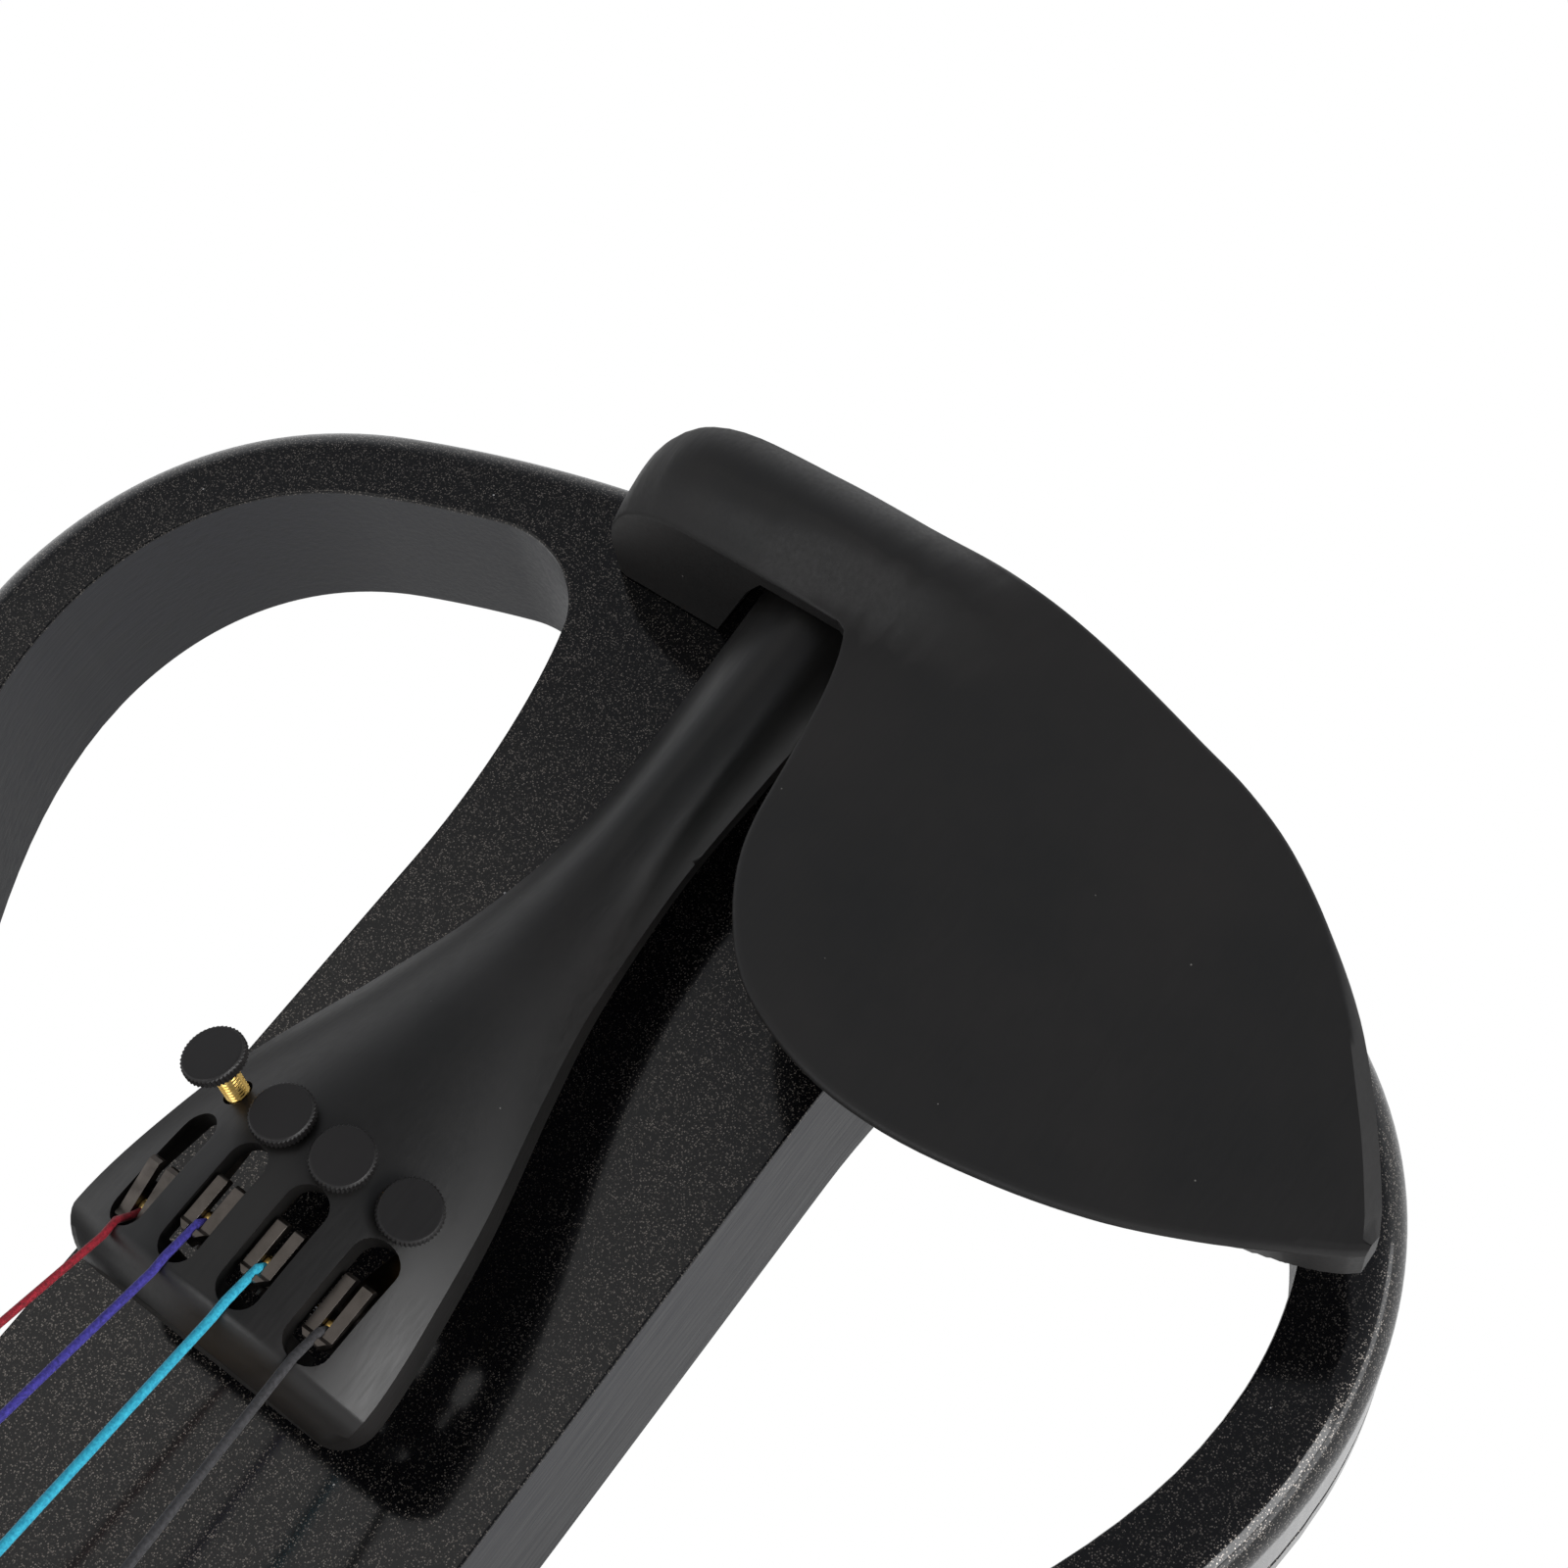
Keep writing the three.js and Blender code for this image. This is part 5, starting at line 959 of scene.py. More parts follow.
def threaded(name, radius, low, high, tip=0.0, plain=0.0):
    """A rod with a cut thread along Z, a tapered lower tip and a plain upper end."""
    rings = []
    for z in evenly(low, high, round((high - low) / SCREW_PITCH * 8)):
        share = min(1, 0.3 + 0.7 * (z - low) / tip) if tip else 1
        cut = THREAD_DEEP if z < high - plain else 0
        rings.append(ring_of(lambda a, k: share * (radius - cut * thread_dip(z, a)), z, 28))
    return shade(loft(name, rings), 70, weighted=False)


def make_screw(name):
    piece = threaded("screw_" + name, SCREW_SHANK / 2, -SCREW_LONG, SCREW_HEAD_TALL / 2 - SEAT, SCREW_TIP, 0.9)
    piece.data.transform(screw_place(name))
    settle(piece, BRASS, "tuner_shank_" + name, ["tuner_shank_" + name])


PRONG_IN, PRONG_OUT, PRONG_THICK, PRONG_BACK, LIP, PRONG_ROUND = 0.5, 1.95, 1.3, 4.6, 0.6, 1
PRONG_BELOW, LEAST_SWING = 0.9, 4.5


def fork_place(name):
    """A lever's turn on its pin, and its prongs' top and reach from there, which swing clear of the slot."""
    pivot = joint_of("tuner_" + name + "_lever")[0]
    top = tail_height(pivot.x, pivot.y) - pivot.z - PRONG_BELOW
    swing = math.asin(max(LEAST_SWING, RAISED[name]) / LEVER_SWING)
    reach = (SLOT_FRONT - pivot.y - PLAY - (top + LIP) * math.sin(swing)) / math.cos(swing)
    posture = Matrix.Translation(pivot) @ Matrix.Rotation(-math.asin(RAISED[name] / LEVER_SWING), 4, "X")
    return posture, top, reach


def make_lever(name):
    """A bent steel lever: its arm and eye, two flat prongs with raised lips, and the string's brass ball."""
    posture, top, reach = fork_place(name)
    low = top - PRONG_THICK
    side = [(-PRONG_BACK, low), (reach, low), (reach, top + LIP - 0.2), (reach - 0.2, top + LIP),
            (reach - 0.8, top + LIP), (reach - 1.2, top), (0.4 - PRONG_BACK, top), (-PRONG_BACK, top - 0.4)]
    right = [(PRONG_OUT + 1, -9), (PRONG_OUT + 1, reach - PRONG_ROUND - 1), (PRONG_OUT - PRONG_ROUND, reach)]
    plan = right + mirrored(right)
    piece = copy_of("tuner_lever_" + name)
    for inner, outer in ((-PRONG_OUT, -PRONG_IN), (PRONG_IN, PRONG_OUT)):
        prong = prism("prong", side, inner, outer, "x")
        carve(prong, prism("rounding", plan, low - 1, top + LIP + 1), operation="INTERSECT")
        prong.data.transform(posture)
        carve(piece, prong, operation="UNION")
    tidy_faces(piece, merge=0.02)
    shade(soften(piece, 0.14, 2, 40, clamp=True), 35)
    settle(piece, LEVER, "tuner_lever_" + name, ["tuner_lever_" + name])
    ball = turned("ball_" + name, [(0, -0.7), (0.6, -0.7), (0.9, -0.4), (0.9, 0.4), (0.6, 0.7), (0, 0.7)], 28)
    seat = Matrix.Translation((0, reach - 2.6, low - 0.5)) @ Matrix.Rotation(math.pi / 2, 4, "Y")
    ball.data.transform(posture @ seat)
    settle(shade(ball, 40), BRASS, "tuner_lever_" + name)


# Strings: silk from the fork, bare winding from before the bridge to the nut, silk again on the peg

GAUGES = (1.1, 1.1, 1.0, 0.9)
CORES = (0.8, 0.74, 0.66, 0.27)
BRIDGE_Y, STRING_LENGTH, BRIDGE_THICK = 170, 328, 4.4
BRIDGE_TOP, BRIDGE_SPREAD, ARCH_RADIUS = 36, 11.3, 42
NUT_SPREAD, NUT_TOP, NUT_RISE, NUT_CREST = 5.5, 14.4, 0.9, 4.2
NUT_Y = BRIDGE_Y + STRING_LENGTH
SILK_END, SILK_START = 157, NUT_Y + 12
PEG_THICK, COILS = 7.6, 3


def arch_drop(x):
    return ARCH_RADIUS - math.sqrt(ARCH_RADIUS ** 2 - x * x)


def peg_place(name):
    return joint_of("peg_" + name + "_turn")[0]


def string_stops(i, name):
    """The places that a string's middle line passes: its ball, the ridge, the bridge, the nut and the peg."""
    x, r = string_row(i, SLOT_SPACING), GAUGES[i] / 2
    ridge = TAIL_START + TAIL_LONG - END_CORNER * 0.6
    posture, top, reach = fork_place(name)
    bridge_x, nut_x = string_row(i, BRIDGE_SPREAD), string_row(i, NUT_SPREAD)
    peg = peg_place(name)
    return [
        posture @ Vector((0, reach - 2.3, top - PRONG_THICK - 0.2)),
        posture @ Vector((0, reach - 1.5, top + 0.1)),
        Vector((x, SLOT_FRONT - 0.4, tail_height(x, SLOT_FRONT) + 0.4 * r)),
        Vector((x, ridge, tail_height(x, ridge) + 0.4 * r)),
        Vector((bridge_x, BRIDGE_Y - BRIDGE_THICK / 3, BRIDGE_TOP - arch_drop(bridge_x) + r + SEAT)),
        Vector((nut_x, NUT_Y + NUT_CREST, NUT_TOP - arch_drop(nut_x) + NUT_RISE + r + SEAT)),
        Vector((nut_x * 0.45, peg.y, peg.z + PEG_THICK / 2 + r + SEAT)),
    ]


def place_on(stops, y):
    """The middle line's place at a distance along the violin."""
    for a, b in zip(stops, stops[1:]):
        if y <= b.y or b is stops[-1]:
            return a.lerp(b, (y - a.y) / (b.y - a.y))


def string_tube(name, line, radius, points=16):
    """A cord along places near the violin's length; radius is one value, or one for each place."""
    rings = []
    for k, place in enumerate(line):
        run = (line[min(k + 1, len(line) - 1)] - line[max(k - 1, 0)]).normalized()
        side = run.cross(Vector((0, 0, 1))).normalized()
        up = side.cross(run)
        wide = radius[k] if isinstance(radius, list) else radius
        rings.append([place + (side * math.cos(a) + up * math.sin(a)) * wide for a in angles_round(points)])
    return loft(name, rings)


def string_piece(name, stops, spans):
    """A cord along the stops. Spans gives (distance along, radius) pairs; stops between them count too."""
    knots = sorted({y for y, _ in spans} | {s.y for s in stops if spans[0][0] < s.y < spans[-1][0]})
    line, radii = [], []
    for y in knots:
        (y0, r0), (y1, r1) = next((a, b) for a, b in zip(spans, spans[1:]) if y <= b[0])
        line.append(place_on(stops, y))
        radii.append(r0 + (r1 - r0) * (y - y0) / (y1 - y0))
    return shade(string_tube(name, line, radii), 60)


def make_coil(name, start_x, full):
    """The string's end, wound on its peg from the middle outwards."""
    peg = peg_place(name)
    radius, thick = PEG_THICK / 2 + full * 0.9 + 0.2, full * 0.85
    rings = []
    for step in range(COILS * 24 + 1):
        a = math.pi / 2 - 2 * math.pi * step / 24
        x = start_x + 2 * full * (step / 24) * (1 if start_x < 0 else -1)
        ring = []
        for b in angles_round(8):
            out = radius + thick * math.cos(b)
            ring.append((x + thick * math.sin(b), peg.y + out * math.cos(a), peg.z + out * math.sin(a)))
        rings.append(ring)
    settle(shade(loft("coil_" + name, rings), 60), SILKS[name], "peg_" + name)


def make_string(i, name):
    stops = string_stops(i, name)
    full, core = GAUGES[i] / 2, CORES[i] / 2
    last = stops[-1].y
    tail = [(stops[0].y, full * 0.9), (stops[2].y, full), (SILK_END - 3, full), (SILK_END, core + 0.05)]
    bare = [(SILK_END - 1, core), (SILK_START, core)]
    silk = [(SILK_START - 1, core + 0.05), (SILK_START + 1.5, full * 0.9), (last, full * 0.9)]
    settle(string_piece("silk_" + name, stops, tail), SILKS[name], replaces=["string_" + name])
    settle(string_piece("winding_" + name, stops, bare), STEEL if name == "e" else WOUND)
    if last > SILK_START + 2:
        settle(string_piece("peg_silk_" + name, stops, silk), SILKS[name])
    make_coil(name, stops[-1].x, full)


def make_tuners_and_strings():
    for i, name in enumerate(NAMES):
        make_screw_head(name)
        make_screw(name)
        make_lever(name)
        make_string(i, name)


# Neck: one carved piece with its heel, pegbox and volute

NECK_END_HALF_WIDE, BOARD_END_HALF, BOARD_LONG = 12, 21, 270
BOARD_THICK, BOARD_END_TOP, NECK_DEEP = 5.5, 28, 13.5
HEEL_Y, HEEL_LONG, TONGUE_Y, HEEL_LOW = BODY_LENGTH + SEAT, 34, BODY_LENGTH - 40, BACK_ROUND - THICK
PEGBOX_LONG, PEGBOX_HALF, THROAT_HALF, PEGBOX_WALL, PEGBOX_FLOOR, NUT_LONG = 68, 12.8, 9, 4.6, 4, 6
PEGBOX_CUT = (-60, 40)  # heights well past the pegbox on both sides
VOLUTE, EYE, EYE_HALF, VOLUTE_START, VOLUTE_TURNS, TURN_STEPS = 17.5, 4.6, 20, -0.62 * math.pi, 2.25, 56
BOARD_END_Y = NUT_Y - BOARD_LONG


def board_half(y):
    return NECK_END_HALF_WIDE + (NUT_Y - y) * (BOARD_END_HALF - NECK_END_HALF_WIDE) / BOARD_LONG


def board_top(y):
    return NUT_TOP + (NUT_Y - y) * (BOARD_END_TOP - NUT_TOP) / BOARD_LONG


def glue_line(y):
    return board_top(y) - arch_drop(NECK_END_HALF_WIDE) - BOARD_THICK


PEGBOX_START, PEGBOX_END = NUT_Y + NUT_LONG, NUT_Y + NUT_LONG + PEGBOX_LONG
PEGBOX_TOP = glue_line(NUT_Y) - SEAT
PEGBOX_BACK = glue_line(NUT_Y) - NECK_DEEP - PLAY
VOLUTE_Y = PEGBOX_END + 0.55 * VOLUTE
VOLUTE_Z = box("neck")[0].z + 0.969 * VOLUTE
THROAT_TOP, THROAT_BACK = VOLUTE_Z + 0.5 * VOLUTE, VOLUTE_Z - 0.86 * VOLUTE


def neck_shaft():
    rings = []
    for y in evenly(HEEL_Y + HEEL_LONG / 3, NUT_Y - NUT_LONG / 4, 24):
        half, top = board_half(y) - SEAT, glue_line(y) - SEAT
        belly = [(-half * math.cos(a), y, top - PLAY - NECK_DEEP * math.sin(a)) for a in evenly(0, math.pi, 28)]
        rings.append([(half, y, top), (-half, y, top)] + belly)
    return loft("neck_carved", rings)


def crossed(name, side, half, plan, tall):
    """What two outlines share: one seen from the side, as (y, z), and one seen from above, as (x, y)."""
    piece = prism(name, side, -half, half, "x")
    return carve(piece, prism("plan", plan, *tall), operation="INTERSECT")


def neck_heel():
    end = HEEL_Y + HEEL_LONG
    low_end = (end + HEEL_LONG / 4, glue_line(end) - NECK_DEEP)
    side = [(TONGUE_Y, SEAT), (HEEL_Y, SEAT), (HEEL_Y, HEEL_LOW), (HEEL_Y + HEEL_LONG / 8, HEEL_LOW)]
    side += bezier(side[-1], (HEEL_Y + HEEL_LONG / 2, HEEL_LOW + HEEL_LONG / 8),
                   (HEEL_Y + HEEL_LONG / 2, low_end[1]), low_end, 24)
    side += [(low_end[0], glue_line(low_end[0]) - NECK_DEEP / 2), (end, glue_line(end) - SEAT),
             (TONGUE_Y, glue_line(TONGUE_Y) - SEAT)]
    half = board_half(HEEL_Y) - SEAT
    right = [(half, TONGUE_Y - OVERRUN), (half, HEEL_Y + HEEL_LONG / 3)]
    right += bezier(right[-1], (half, end), (half * 0.8, end + HEEL_LONG / 2),
                    (half * 0.72, end + HEEL_LONG), 10)
    plan = right + mirrored(right)
    return crossed("heel", side, half, plan, (-THICK - OVERRUN, glue_line(TONGUE_Y) + OVERRUN))


def neck_pegbox():
    throat = PEGBOX_END + VOLUTE / 3
    side = [(NUT_Y - NUT_LONG / 2, PEGBOX_TOP), (NUT_Y - NUT_LONG / 2, PEGBOX_BACK)]
    side += bezier(side[-1], (NUT_Y + PEGBOX_LONG / 6, PEGBOX_BACK - PEGBOX_LONG / 12),
                   (PEGBOX_END - PEGBOX_LONG / 3, THROAT_BACK), (throat, THROAT_BACK), 30)
    side.append((throat, THROAT_TOP))
    wide = [(NECK_END_HALF_WIDE, NUT_Y - NUT_LONG), (PEGBOX_HALF, PEGBOX_START),
            (THROAT_HALF, PEGBOX_END + VOLUTE)]
    piece = crossed("pegbox", side, PEGBOX_HALF, wide + mirrored(wide), PEGBOX_CUT)
    hollow = [(PEGBOX_START, PEGBOX_TOP + OVERRUN), (PEGBOX_START, PEGBOX_BACK + PEGBOX_FLOOR)]
    hollow += bezier(hollow[-1], (PEGBOX_START + 12, PEGBOX_BACK + 1), (PEGBOX_END - 24, THROAT_BACK + 9),
                     (PEGBOX_END - PEGBOX_WALL, THROAT_BACK + 2 * PEGBOX_FLOOR), 16)
    hollow.append((PEGBOX_END - PEGBOX_WALL, PEGBOX_TOP + OVERRUN))
    inner = [(PEGBOX_HALF - PEGBOX_WALL, PEGBOX_START), (THROAT_HALF - PEGBOX_WALL, PEGBOX_END - PEGBOX_WALL)]
    return carve(piece, crossed("channel", hollow, PEGBOX_HALF, inner + mirrored(inner), PEGBOX_CUT))


def volute():
    """A band that winds in to the eye while it widens, with fluted sides and two channels round its back."""
    steps = round(TURN_STEPS * VOLUTE_TURNS)
    start_half = THROAT_HALF * 0.72
    rings = []
    for i in range(steps + 1):
        a = VOLUTE_START + 2 * math.pi * i / TURN_STEPS
        after = i + TURN_STEPS
        out = VOLUTE * (EYE / VOLUTE) ** (i / steps)
        inner = VOLUTE * (EYE / VOLUTE) ** (after / steps) - 0.4 if after <= steps else 0.3
        wide = out - inner
        half = start_half + (EYE_HALF - start_half) * min(1, i / (steps - TURN_STEPS / 2)) ** 1.3
        deep = min(0.9, 0.14 * wide) * min(1, i / 12)
        edge = min(0.8, 0.12 * wide)
        section = [
            (inner, half - 0.2 * deep), (inner + 0.3 * wide, half - deep), (inner + 0.6 * wide, half - deep),
            (out - 2 * edge, half - 0.1 * deep), (out - edge, half), (out - 0.25 * edge, half - 0.3 * edge),
            (out, half - edge), (out - 0.5 * deep, half * 0.5), (out, half * 0.08)]
        section += [(r, -h) for r, h in reversed(section)]
        rings.append([(h, VOLUTE_Y + r * math.cos(a), VOLUTE_Z + r * math.sin(a)) for r, h in section])
    return loft("volute", rings)


def make_neck():
    piece = neck_shaft()
    carve(piece, neck_heel(), neck_pegbox(), operation="UNION")
    for name in NAMES:
        peg = peg_place(name)
        carve(piece, pin("hole", PEG_THICK / 2 + PLAY, -20, 20, (peg.y, peg.z), "x", 40))
    tidy_faces(piece, merge=0.02)
    soften(piece, 0.35, 2, 44)
    shade(piece, 34)
    settle(piece, NECK, replaces=["neck"])
    settle(shade(volute(), 40), NECK)


# Fingerboard and nut

def arched(half, y, low, top):
    """A ring with a flat underside and the board's arch on top."""
    spread = math.asin(half / ARCH_RADIUS)
    arch = [ARCH_RADIUS * math.sin(a) for a in evenly(spread, -spread, 28)]
    return [(-half, y, low), (half, y, low)] + [(x, y, top - arch_drop(x)) for x in arch]


def make_board():
    rings = [arched(board_half(y), y, glue_line(y), board_top(y)) for y in (BOARD_END_Y, NUT_Y - SEAT)]
    piece = loft("fingerboard_planed", rings)
    hollow = BOARD_END_HALF * 0.68
    axis = glue_line(BOARD_END_Y) - hollow * 1.35
    carve(piece, pin("hollow", hollow * 1.5, BOARD_END_Y - OVERRUN, TONGUE_Y - OVERRUN, (0, axis), "y", 96))
    shade(soften(piece, 0.4, 3, 40), 30)
    settle(piece, EBONY, replaces=["fingerboard"])


def make_nut():
    half, low, crest = NECK_END_HALF_WIDE - SEAT, PEGBOX_TOP + SEAT, NUT_TOP + NUT_RISE
    rings = [arched(half, NUT_Y, low, crest - 0.1)]
    for a in evenly(0, math.pi / 2, 8):
        y = NUT_Y + NUT_CREST + (NUT_LONG - SEAT - NUT_CREST) * math.sin(a)
        rings.append(arched(half, y, low, crest - 5 * NUT_RISE * (1 - math.cos(a))))
    piece = loft("nut_filed", rings)
    for i, gauge in enumerate(GAUGES):
        x = string_row(i, NUT_SPREAD)
        place = (x, NUT_TOP - arch_drop(x) + NUT_RISE + gauge / 2)
        ends = (NUT_Y - OVERRUN, NUT_Y + NUT_LONG + OVERRUN)
        carve(piece, pin("notch", gauge / 2 + SEAT, *ends, place, "y", 24))
    shade(soften(piece, 0.2, 2, 44), 34)
    settle(piece, EBONY, replaces=["nut"])


# Pegs: a tapered shank, a turned collar and a flat heart-shaped head with a ball on its end

PEG_STEM, PEG_HEAD, PEG_HEAD_THICK, PEG_TIP = 14, 22, 6.5, 6.8
# The stem's turned shape, as shares of its length and of the peg's thickness
STEM_PROFILE = ((0, 0.66), (0.03, 0.72), (0.1, 0.75), (0.17, 0.73), (0.21, 0.6), (0.25, 0.62), (0.29, 0.55),
                (0.42, 0.43), (0.6, 0.41), (0.8, 0.46), (1, 0.55), (1.15, 0.4))
# The ball's radius, and how far below its top
BALL_PROFILE = ((0, 2.6), (1.1, 2.6), (1.5, 2), (1.55, 1.2), (1.1, 0.35), (0.5, 0.02), (0, 0))


def peg_head(base):
    """A flat heart shape that is hollowed towards its middle."""
    rings = []
    for t in evenly(0, 1, 28):
        wide = PEG_HEAD / 2 * math.sin(math.pi * min(0.985, max(0.015, t)) ** 0.86) ** 0.62
        thick = PEG_HEAD_THICK / 2 * (0.34 + 0.66 * abs(2 * t - 0.9) ** 1.5) * min(1, 6 * (1.02 - t)) ** 0.5
        thick = min(thick, PEG_HEAD_THICK / 2, wide)
        ring = []
        for c, s in [(math.cos(a), math.sin(a)) for a in angles_round(32)]:
            ring.append((thick * math.copysign(abs(s) ** 0.7, s), wide * math.copysign(abs(c) ** 0.85, c),
                         base + PEG_HEAD * t))
        rings.append(ring)
    return loft("head", rings)


def make_peg(name):
    place = peg_place(name)
    cheek = PEGBOX_HALF - (place.y - PEGBOX_START) * (PEGBOX_HALF - THROAT_HALF) / (PEGBOX_LONG + VOLUTE)
    back, front = -cheek - PEGBOX_WALL / 2, cheek + PLAY
    profile = [(0, back), (PEG_TIP / 2 - 0.6, back), (PEG_TIP / 2 - 0.15, back + 0.25),
               (PEG_TIP / 2, back + 0.8), (PEG_THICK / 2, front - 0.1)]
    profile += [(PEG_THICK * radius, front + PEG_STEM * share) for share, radius in STEM_PROFILE]
    profile.append((0, profile[-1][1]))
    piece = turned("peg_turned_" + name, profile, 48)
    tip = cheek + PEG_STEM + PEG_HEAD
    ball = turned("ball", [(radius, tip - below) for radius, below in BALL_PROFILE], 24)
    carve(piece, peg_head(cheek + PEG_STEM - PEG_THICK / 4), ball, operation="UNION")
    tidy_faces(piece, merge=0.02)
    shade(piece, 38)
    side = 1 if name in "ae" else -1
    turn = Matrix.Rotation(side * math.pi / 2, 4, "Y")
    piece.data.transform(Matrix.Translation((0, place.y, place.z)) @ turn)
    settle(piece, EBONY, "peg_" + name, ["peg_" + name])


# Pieces that keep the CAD model's shape, with their edges rounded as their making leaves them: each slot's
# finish, and its nodes with their edge radius in millimetres
SMALL_PARTS = {
    "ebonised_wood": (EBONY, {"saddle": 0.3, "end_button": 0.3}),
    "maple": (MAPLE, {"bridge": 0.25}),
    "pickup": (PICKUP, {"bridge_pickup": 0.2}),
    "lead": (NYLON, {"pickup_lead": 0}),
    "gut": (NYLON, {"tail_gut": 0}),
    "cork": (CORK, {"clamp_cork": 0.3}),
    "nickel": (NICKEL, {
        "lever_pin": 0.15, "clamp_lower_bracket": 0.4, "clamp_barrel_bass": 0.35, "clamp_barrel_treble": 0.35,
        "output_jack": 0.2, "headphone_jack": 0.2}),
    "pot_can": (CAN, {"volume_pot": 0.3, "tone_pot": 0.3}),
    "cover_plastic": (PLASTIC, {
        "volume_knob": 0.5, "tone_knob": 0.5, "jack_plate": 0.3, "control_cover": 0.35, "battery_door": 0.35,
        "battery_clip": 0.2, "switch_slider": 0.2}),
    "switch_steel": (BLACK_STEEL, {"power_switch": 0.25}),
    "battery_case": (BATTERY, {"battery": 0.6}),
    "circuit_board": (BOARD, {"preamp_board": 0.1}),
}


BRACKET_X, BRACKET_THICK, BRACKET_END, ROD_Y, ROD_RADIUS, ROD_SUNK = 21, 2.3, 2.2, -6.4, 1.5, 1.2
CROSS_WIDE, CROSS_LONG = 0.35, 1.7


def make_bracket(side, node):
    """A plate that lies in the chinrest's bed and narrows to the threaded rod riveted in its end."""
    low, high = box(node)
    x, half, end = BRACKET_X * side, (high.x - low.x) / 2, BRACKET_END
    right = [(x + half, high.y), (x + half, -0.5)]
    right += bezier(right[-1], (x + half, ROD_Y + 3), (x + end, ROD_Y + 2.5), (x + end, ROD_Y), 8)
    right += [(x + end * math.cos(a), ROD_Y - end * math.sin(a)) for a in angles_round(32)[1:8]]
    outline = right + [(x, ROD_Y - end)] + mirrored(right, x)
    plate = prism("bracket_plate", outline, high.z - BRACKET_THICK, high.z)
    shade(soften(plate, 0.3, 3, 40), 35)
    settle(plate, NICKEL, replaces=[node])
    stem = threaded("bracket_rod", ROD_RADIUS, low.z, high.z - ROD_SUNK)
    stem.data.transform(Matrix.Translation((x, ROD_Y, 0)))
    settle(stem, NICKEL)


def make_cover_screw(node):
    """A small screw with a cross cut in its head."""
    low, high = box(node)
    x, y = (low.x + high.x) / 2, (low.y + high.y) / 2
    piece = soften(copy_of(node), 0.12, 2, 40, clamp=True)
    for wide, long in ((CROSS_WIDE, CROSS_LONG), (CROSS_LONG, CROSS_WIDE)):
        carve(piece, brick("cross", (x - wide, x + wide), (y - long, y + long), (low.z - 1, low.z + 1)))
    shade(piece, 40)
    settle(piece, NICKEL, replaces=[node])


def make_small_parts():
    for slot, (finish, edges) in SMALL_PARTS.items():
        for node, edge in edges.items():
            piece = copy_of(node)
            if edge:
                soften(piece, edge, 3, 40, clamp=True)
            shade(piece, 40)
            settle(piece, finish, node if node in frame["bodies"] else "frame", [node])
    make_bracket(-1, "clamp_bracket_bass")
    make_bracket(1, "clamp_bracket_treble")
    for i in range(1, 5):
        make_cover_screw(f"cover_screw_{i}")


# Surroundings: a white sweep that the camera sees as white, softer overhead light and three lamps

WHITE = (1, 1, 1, 1)
SKY_STOPS = {
    0.0: (0.8, 0.8, 0.8, 1),
    0.56: (0.75, 0.76, 0.78, 1),
    0.75: (0.33, 0.34, 0.36, 1),
    0.9: (0.22, 0.225, 0.24, 1),
    1.0: (0.2, 0.205, 0.22, 1),
}
OVERHEAD = Vector((0.44, 0.06, 0.9))  # a soft box above the treble side, which the body's top mirrors
OVERHEAD_WHITE = (0.72, 0.71, 0.7, 1)
OVERHEAD_FAINT, OVERHEAD_FULL = math.cos(math.radians(24)), math.cos(math.radians(5))
GLOSS_SHARE = 0.5
FLOOR_GAP = 0.0003


def make_world():
    """White at the horizon and below, dimmer overhead, so that black gloss shows a soft gradient."""
    world = bpy.data.worlds.new("studio")
    bpy.context.scene.world = world
    world.use_nodes = True
    tree = world.node_tree
    toward = put(tree, "TexCoord")["Generated"]
    up = put(tree, "SeparateXYZ", {0: toward})["Z"]
    height = put(tree, "MapRange", {"Value": up, "From Min": -1})["Result"]
    sky = put(tree, "ValToRGB", {"Fac": height}, SKY_STOPS)["Color"]
    near = put(tree, "VectorMath", {0: toward, 1: OVERHEAD.normalized()}, operation="DOT_PRODUCT")["Value"]
    glow = put(tree, "MapRange", {"Value": near, "From Min": OVERHEAD_FAINT, "From Max": OVERHEAD_FULL},
               interpolation_type="SMOOTHSTEP")["Result"]
    lit = put(tree, "Mix", {0: glow, MIX_FIRST: sky, MIX_SECOND: OVERHEAD_WHITE}, data_type="RGBA")[MIX_OUT]
    seen = put(tree, "LightPath")["Is Camera Ray"]
    colour = put(tree, "Mix", {0: seen, MIX_FIRST: lit, MIX_SECOND: WHITE}, data_type="RGBA")[MIX_OUT]
    tree.links.new(colour, tree.nodes["Background"].inputs["Color"])


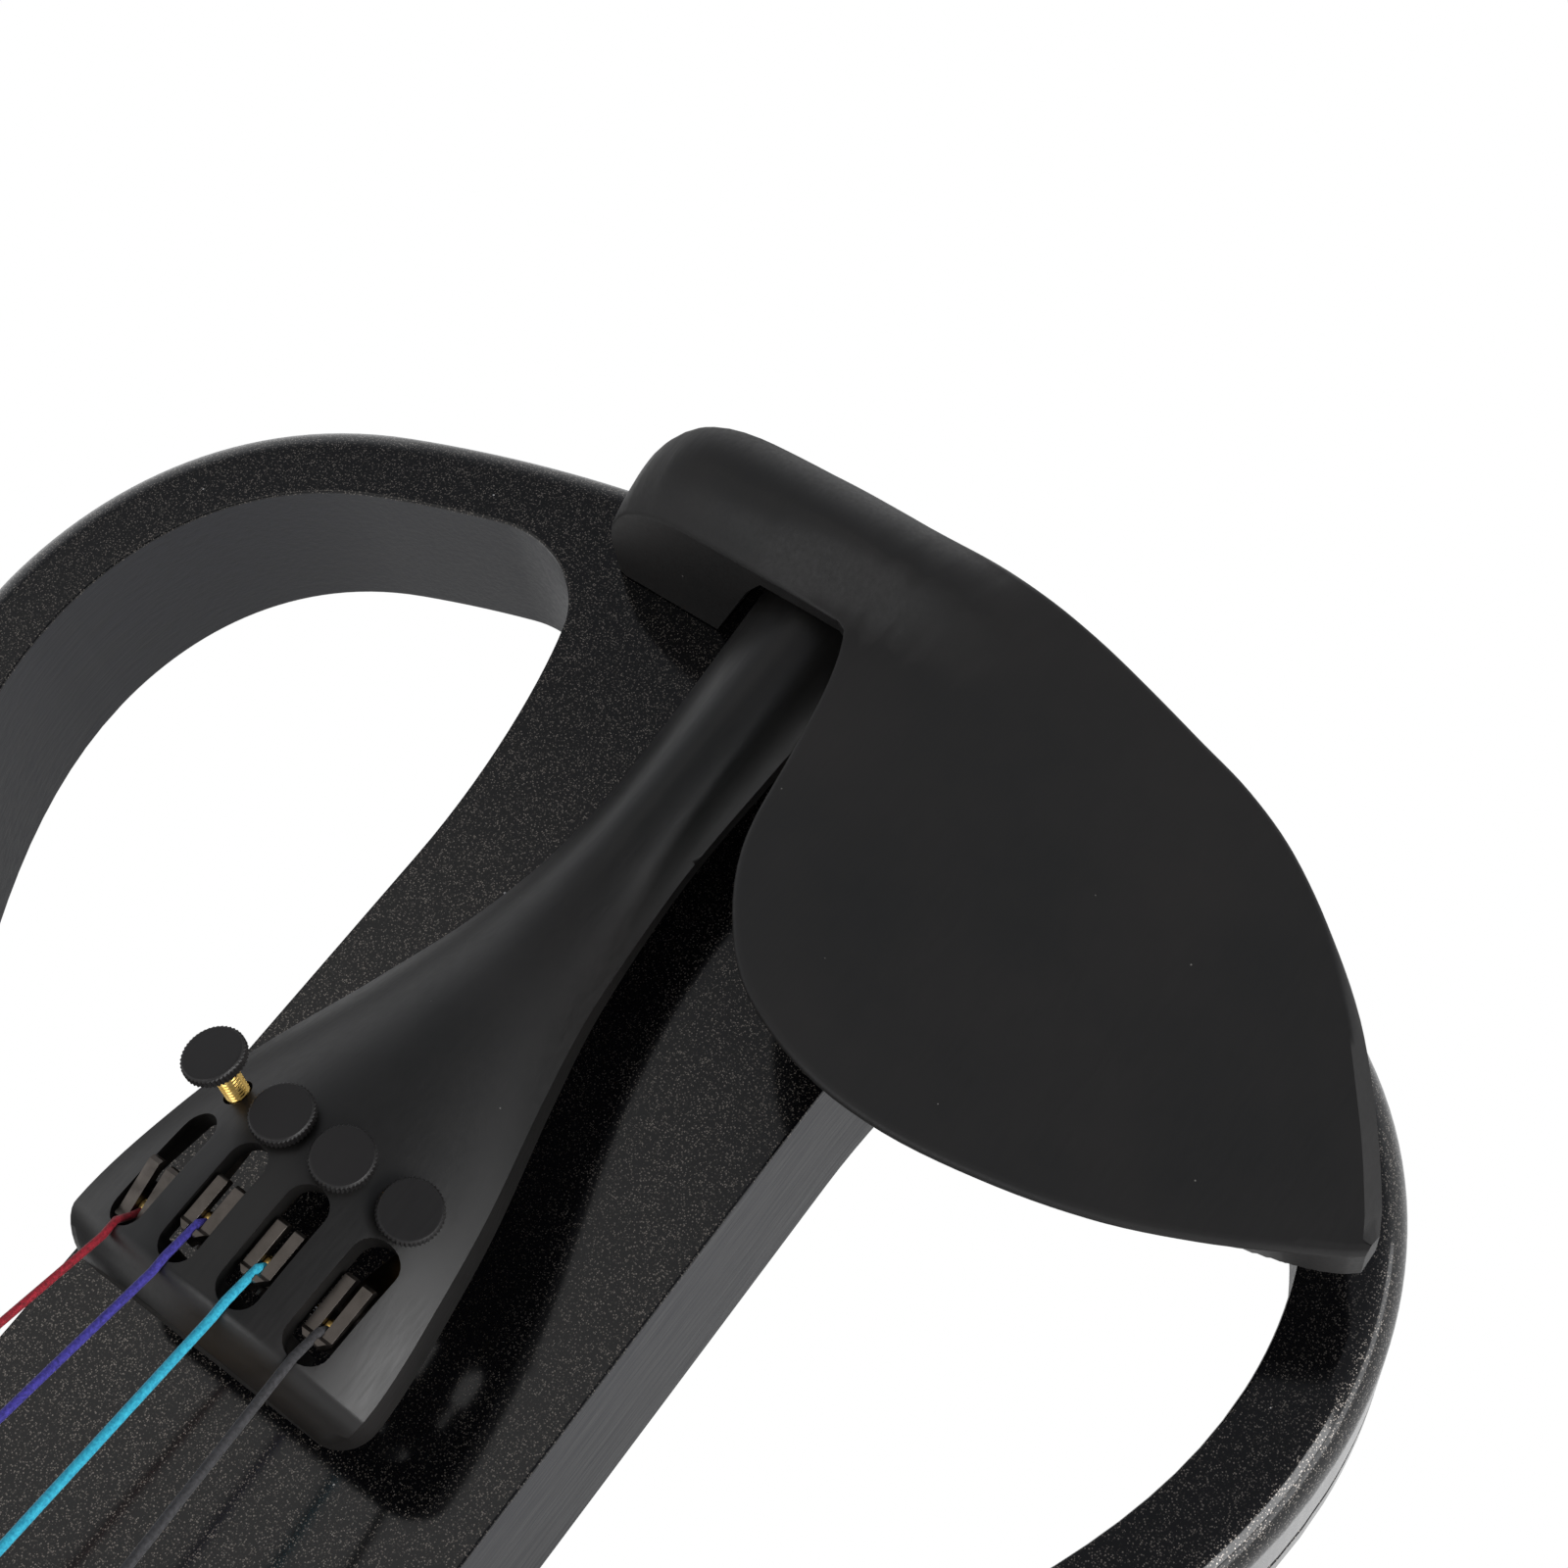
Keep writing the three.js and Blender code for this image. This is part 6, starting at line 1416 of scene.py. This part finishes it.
def make_floor():
    """A matte white sweep. The camera and mirror-like surfaces see it as plain white."""
    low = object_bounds()[0]
    bpy.ops.mesh.primitive_grid_add(x_subdivisions=12, y_subdivisions=12, size=6)
    floor = bpy.context.object
    floor.name = "floor"
    floor.data.transform(Matrix.Translation((0, 0, low.z - FLOOR_GAP)))
    made, tree = material("white paper", Roughness=0.9, Base_Color=(0.8, 0.8, 0.8, 1))
    paper = tree.nodes["Principled BSDF"].outputs[0]
    glow = put(tree, "Emission", {"Color": WHITE, "Strength": 1.0})[0]
    path = put(tree, "LightPath")
    seen = put(tree, "Math", {0: path["Is Camera Ray"], 1: path["Is Transmission Ray"]}, operation="MAXIMUM")[0]
    glossy = put(tree, "Math", {0: path["Is Glossy Ray"], 1: GLOSS_SHARE}, operation="MULTIPLY")[0]
    share = put(tree, "Math", {0: seen, 1: glossy}, operation="MAXIMUM")[0]
    blend = put(tree, "MixShader", {0: share, 1: paper, 2: glow})[0]
    tree.links.new(blend, tree.nodes["Material Output"].inputs["Surface"])
    floor.data.materials.append(made)


# Each lamp's place and aim in metres from the tail edge's middle, its size, and its power in watts
LAMPS = {
    "side box": ((-1.15, 0.1, 0.62), (0, 0, 0), (0.9, 0.5), 8.0),
    "rim strip": ((-1.2, -0.1, 0.16), (0, 0, 0.16), (1.8, 0.32), 4.0),
    "neck box": ((0.2, 1.2, 0.9), (0, 0, 0), (0.9, 0.5), 3.0),
}


def make_light():
    for name, (place, aim, size, power) in LAMPS.items():
        lamp = bpy.data.lights.new(name, "AREA")
        lamp.shape = "RECTANGLE"
        lamp.size, lamp.size_y = size
        lamp.energy = power
        holder = bpy.data.objects.new(name, lamp)
        spot, target = ORIGIN + Vector(place), ORIGIN + Vector(aim)
        turn = (spot - target).to_track_quat("Z", "Y").to_matrix().to_4x4()
        holder.matrix_world = Matrix.Translation(spot) @ turn
        bpy.context.scene.collection.objects.link(holder)


bpy.context.scene.view_settings.view_transform = "Standard"
make_camera()
make_world()
make_floor()
make_light()
make_body()
make_chinrest()
make_tailpiece()
make_tuners_and_strings()
make_neck()
make_board()
make_nut()
for peg_name in NAMES:
    make_peg(peg_name)
make_small_parts()
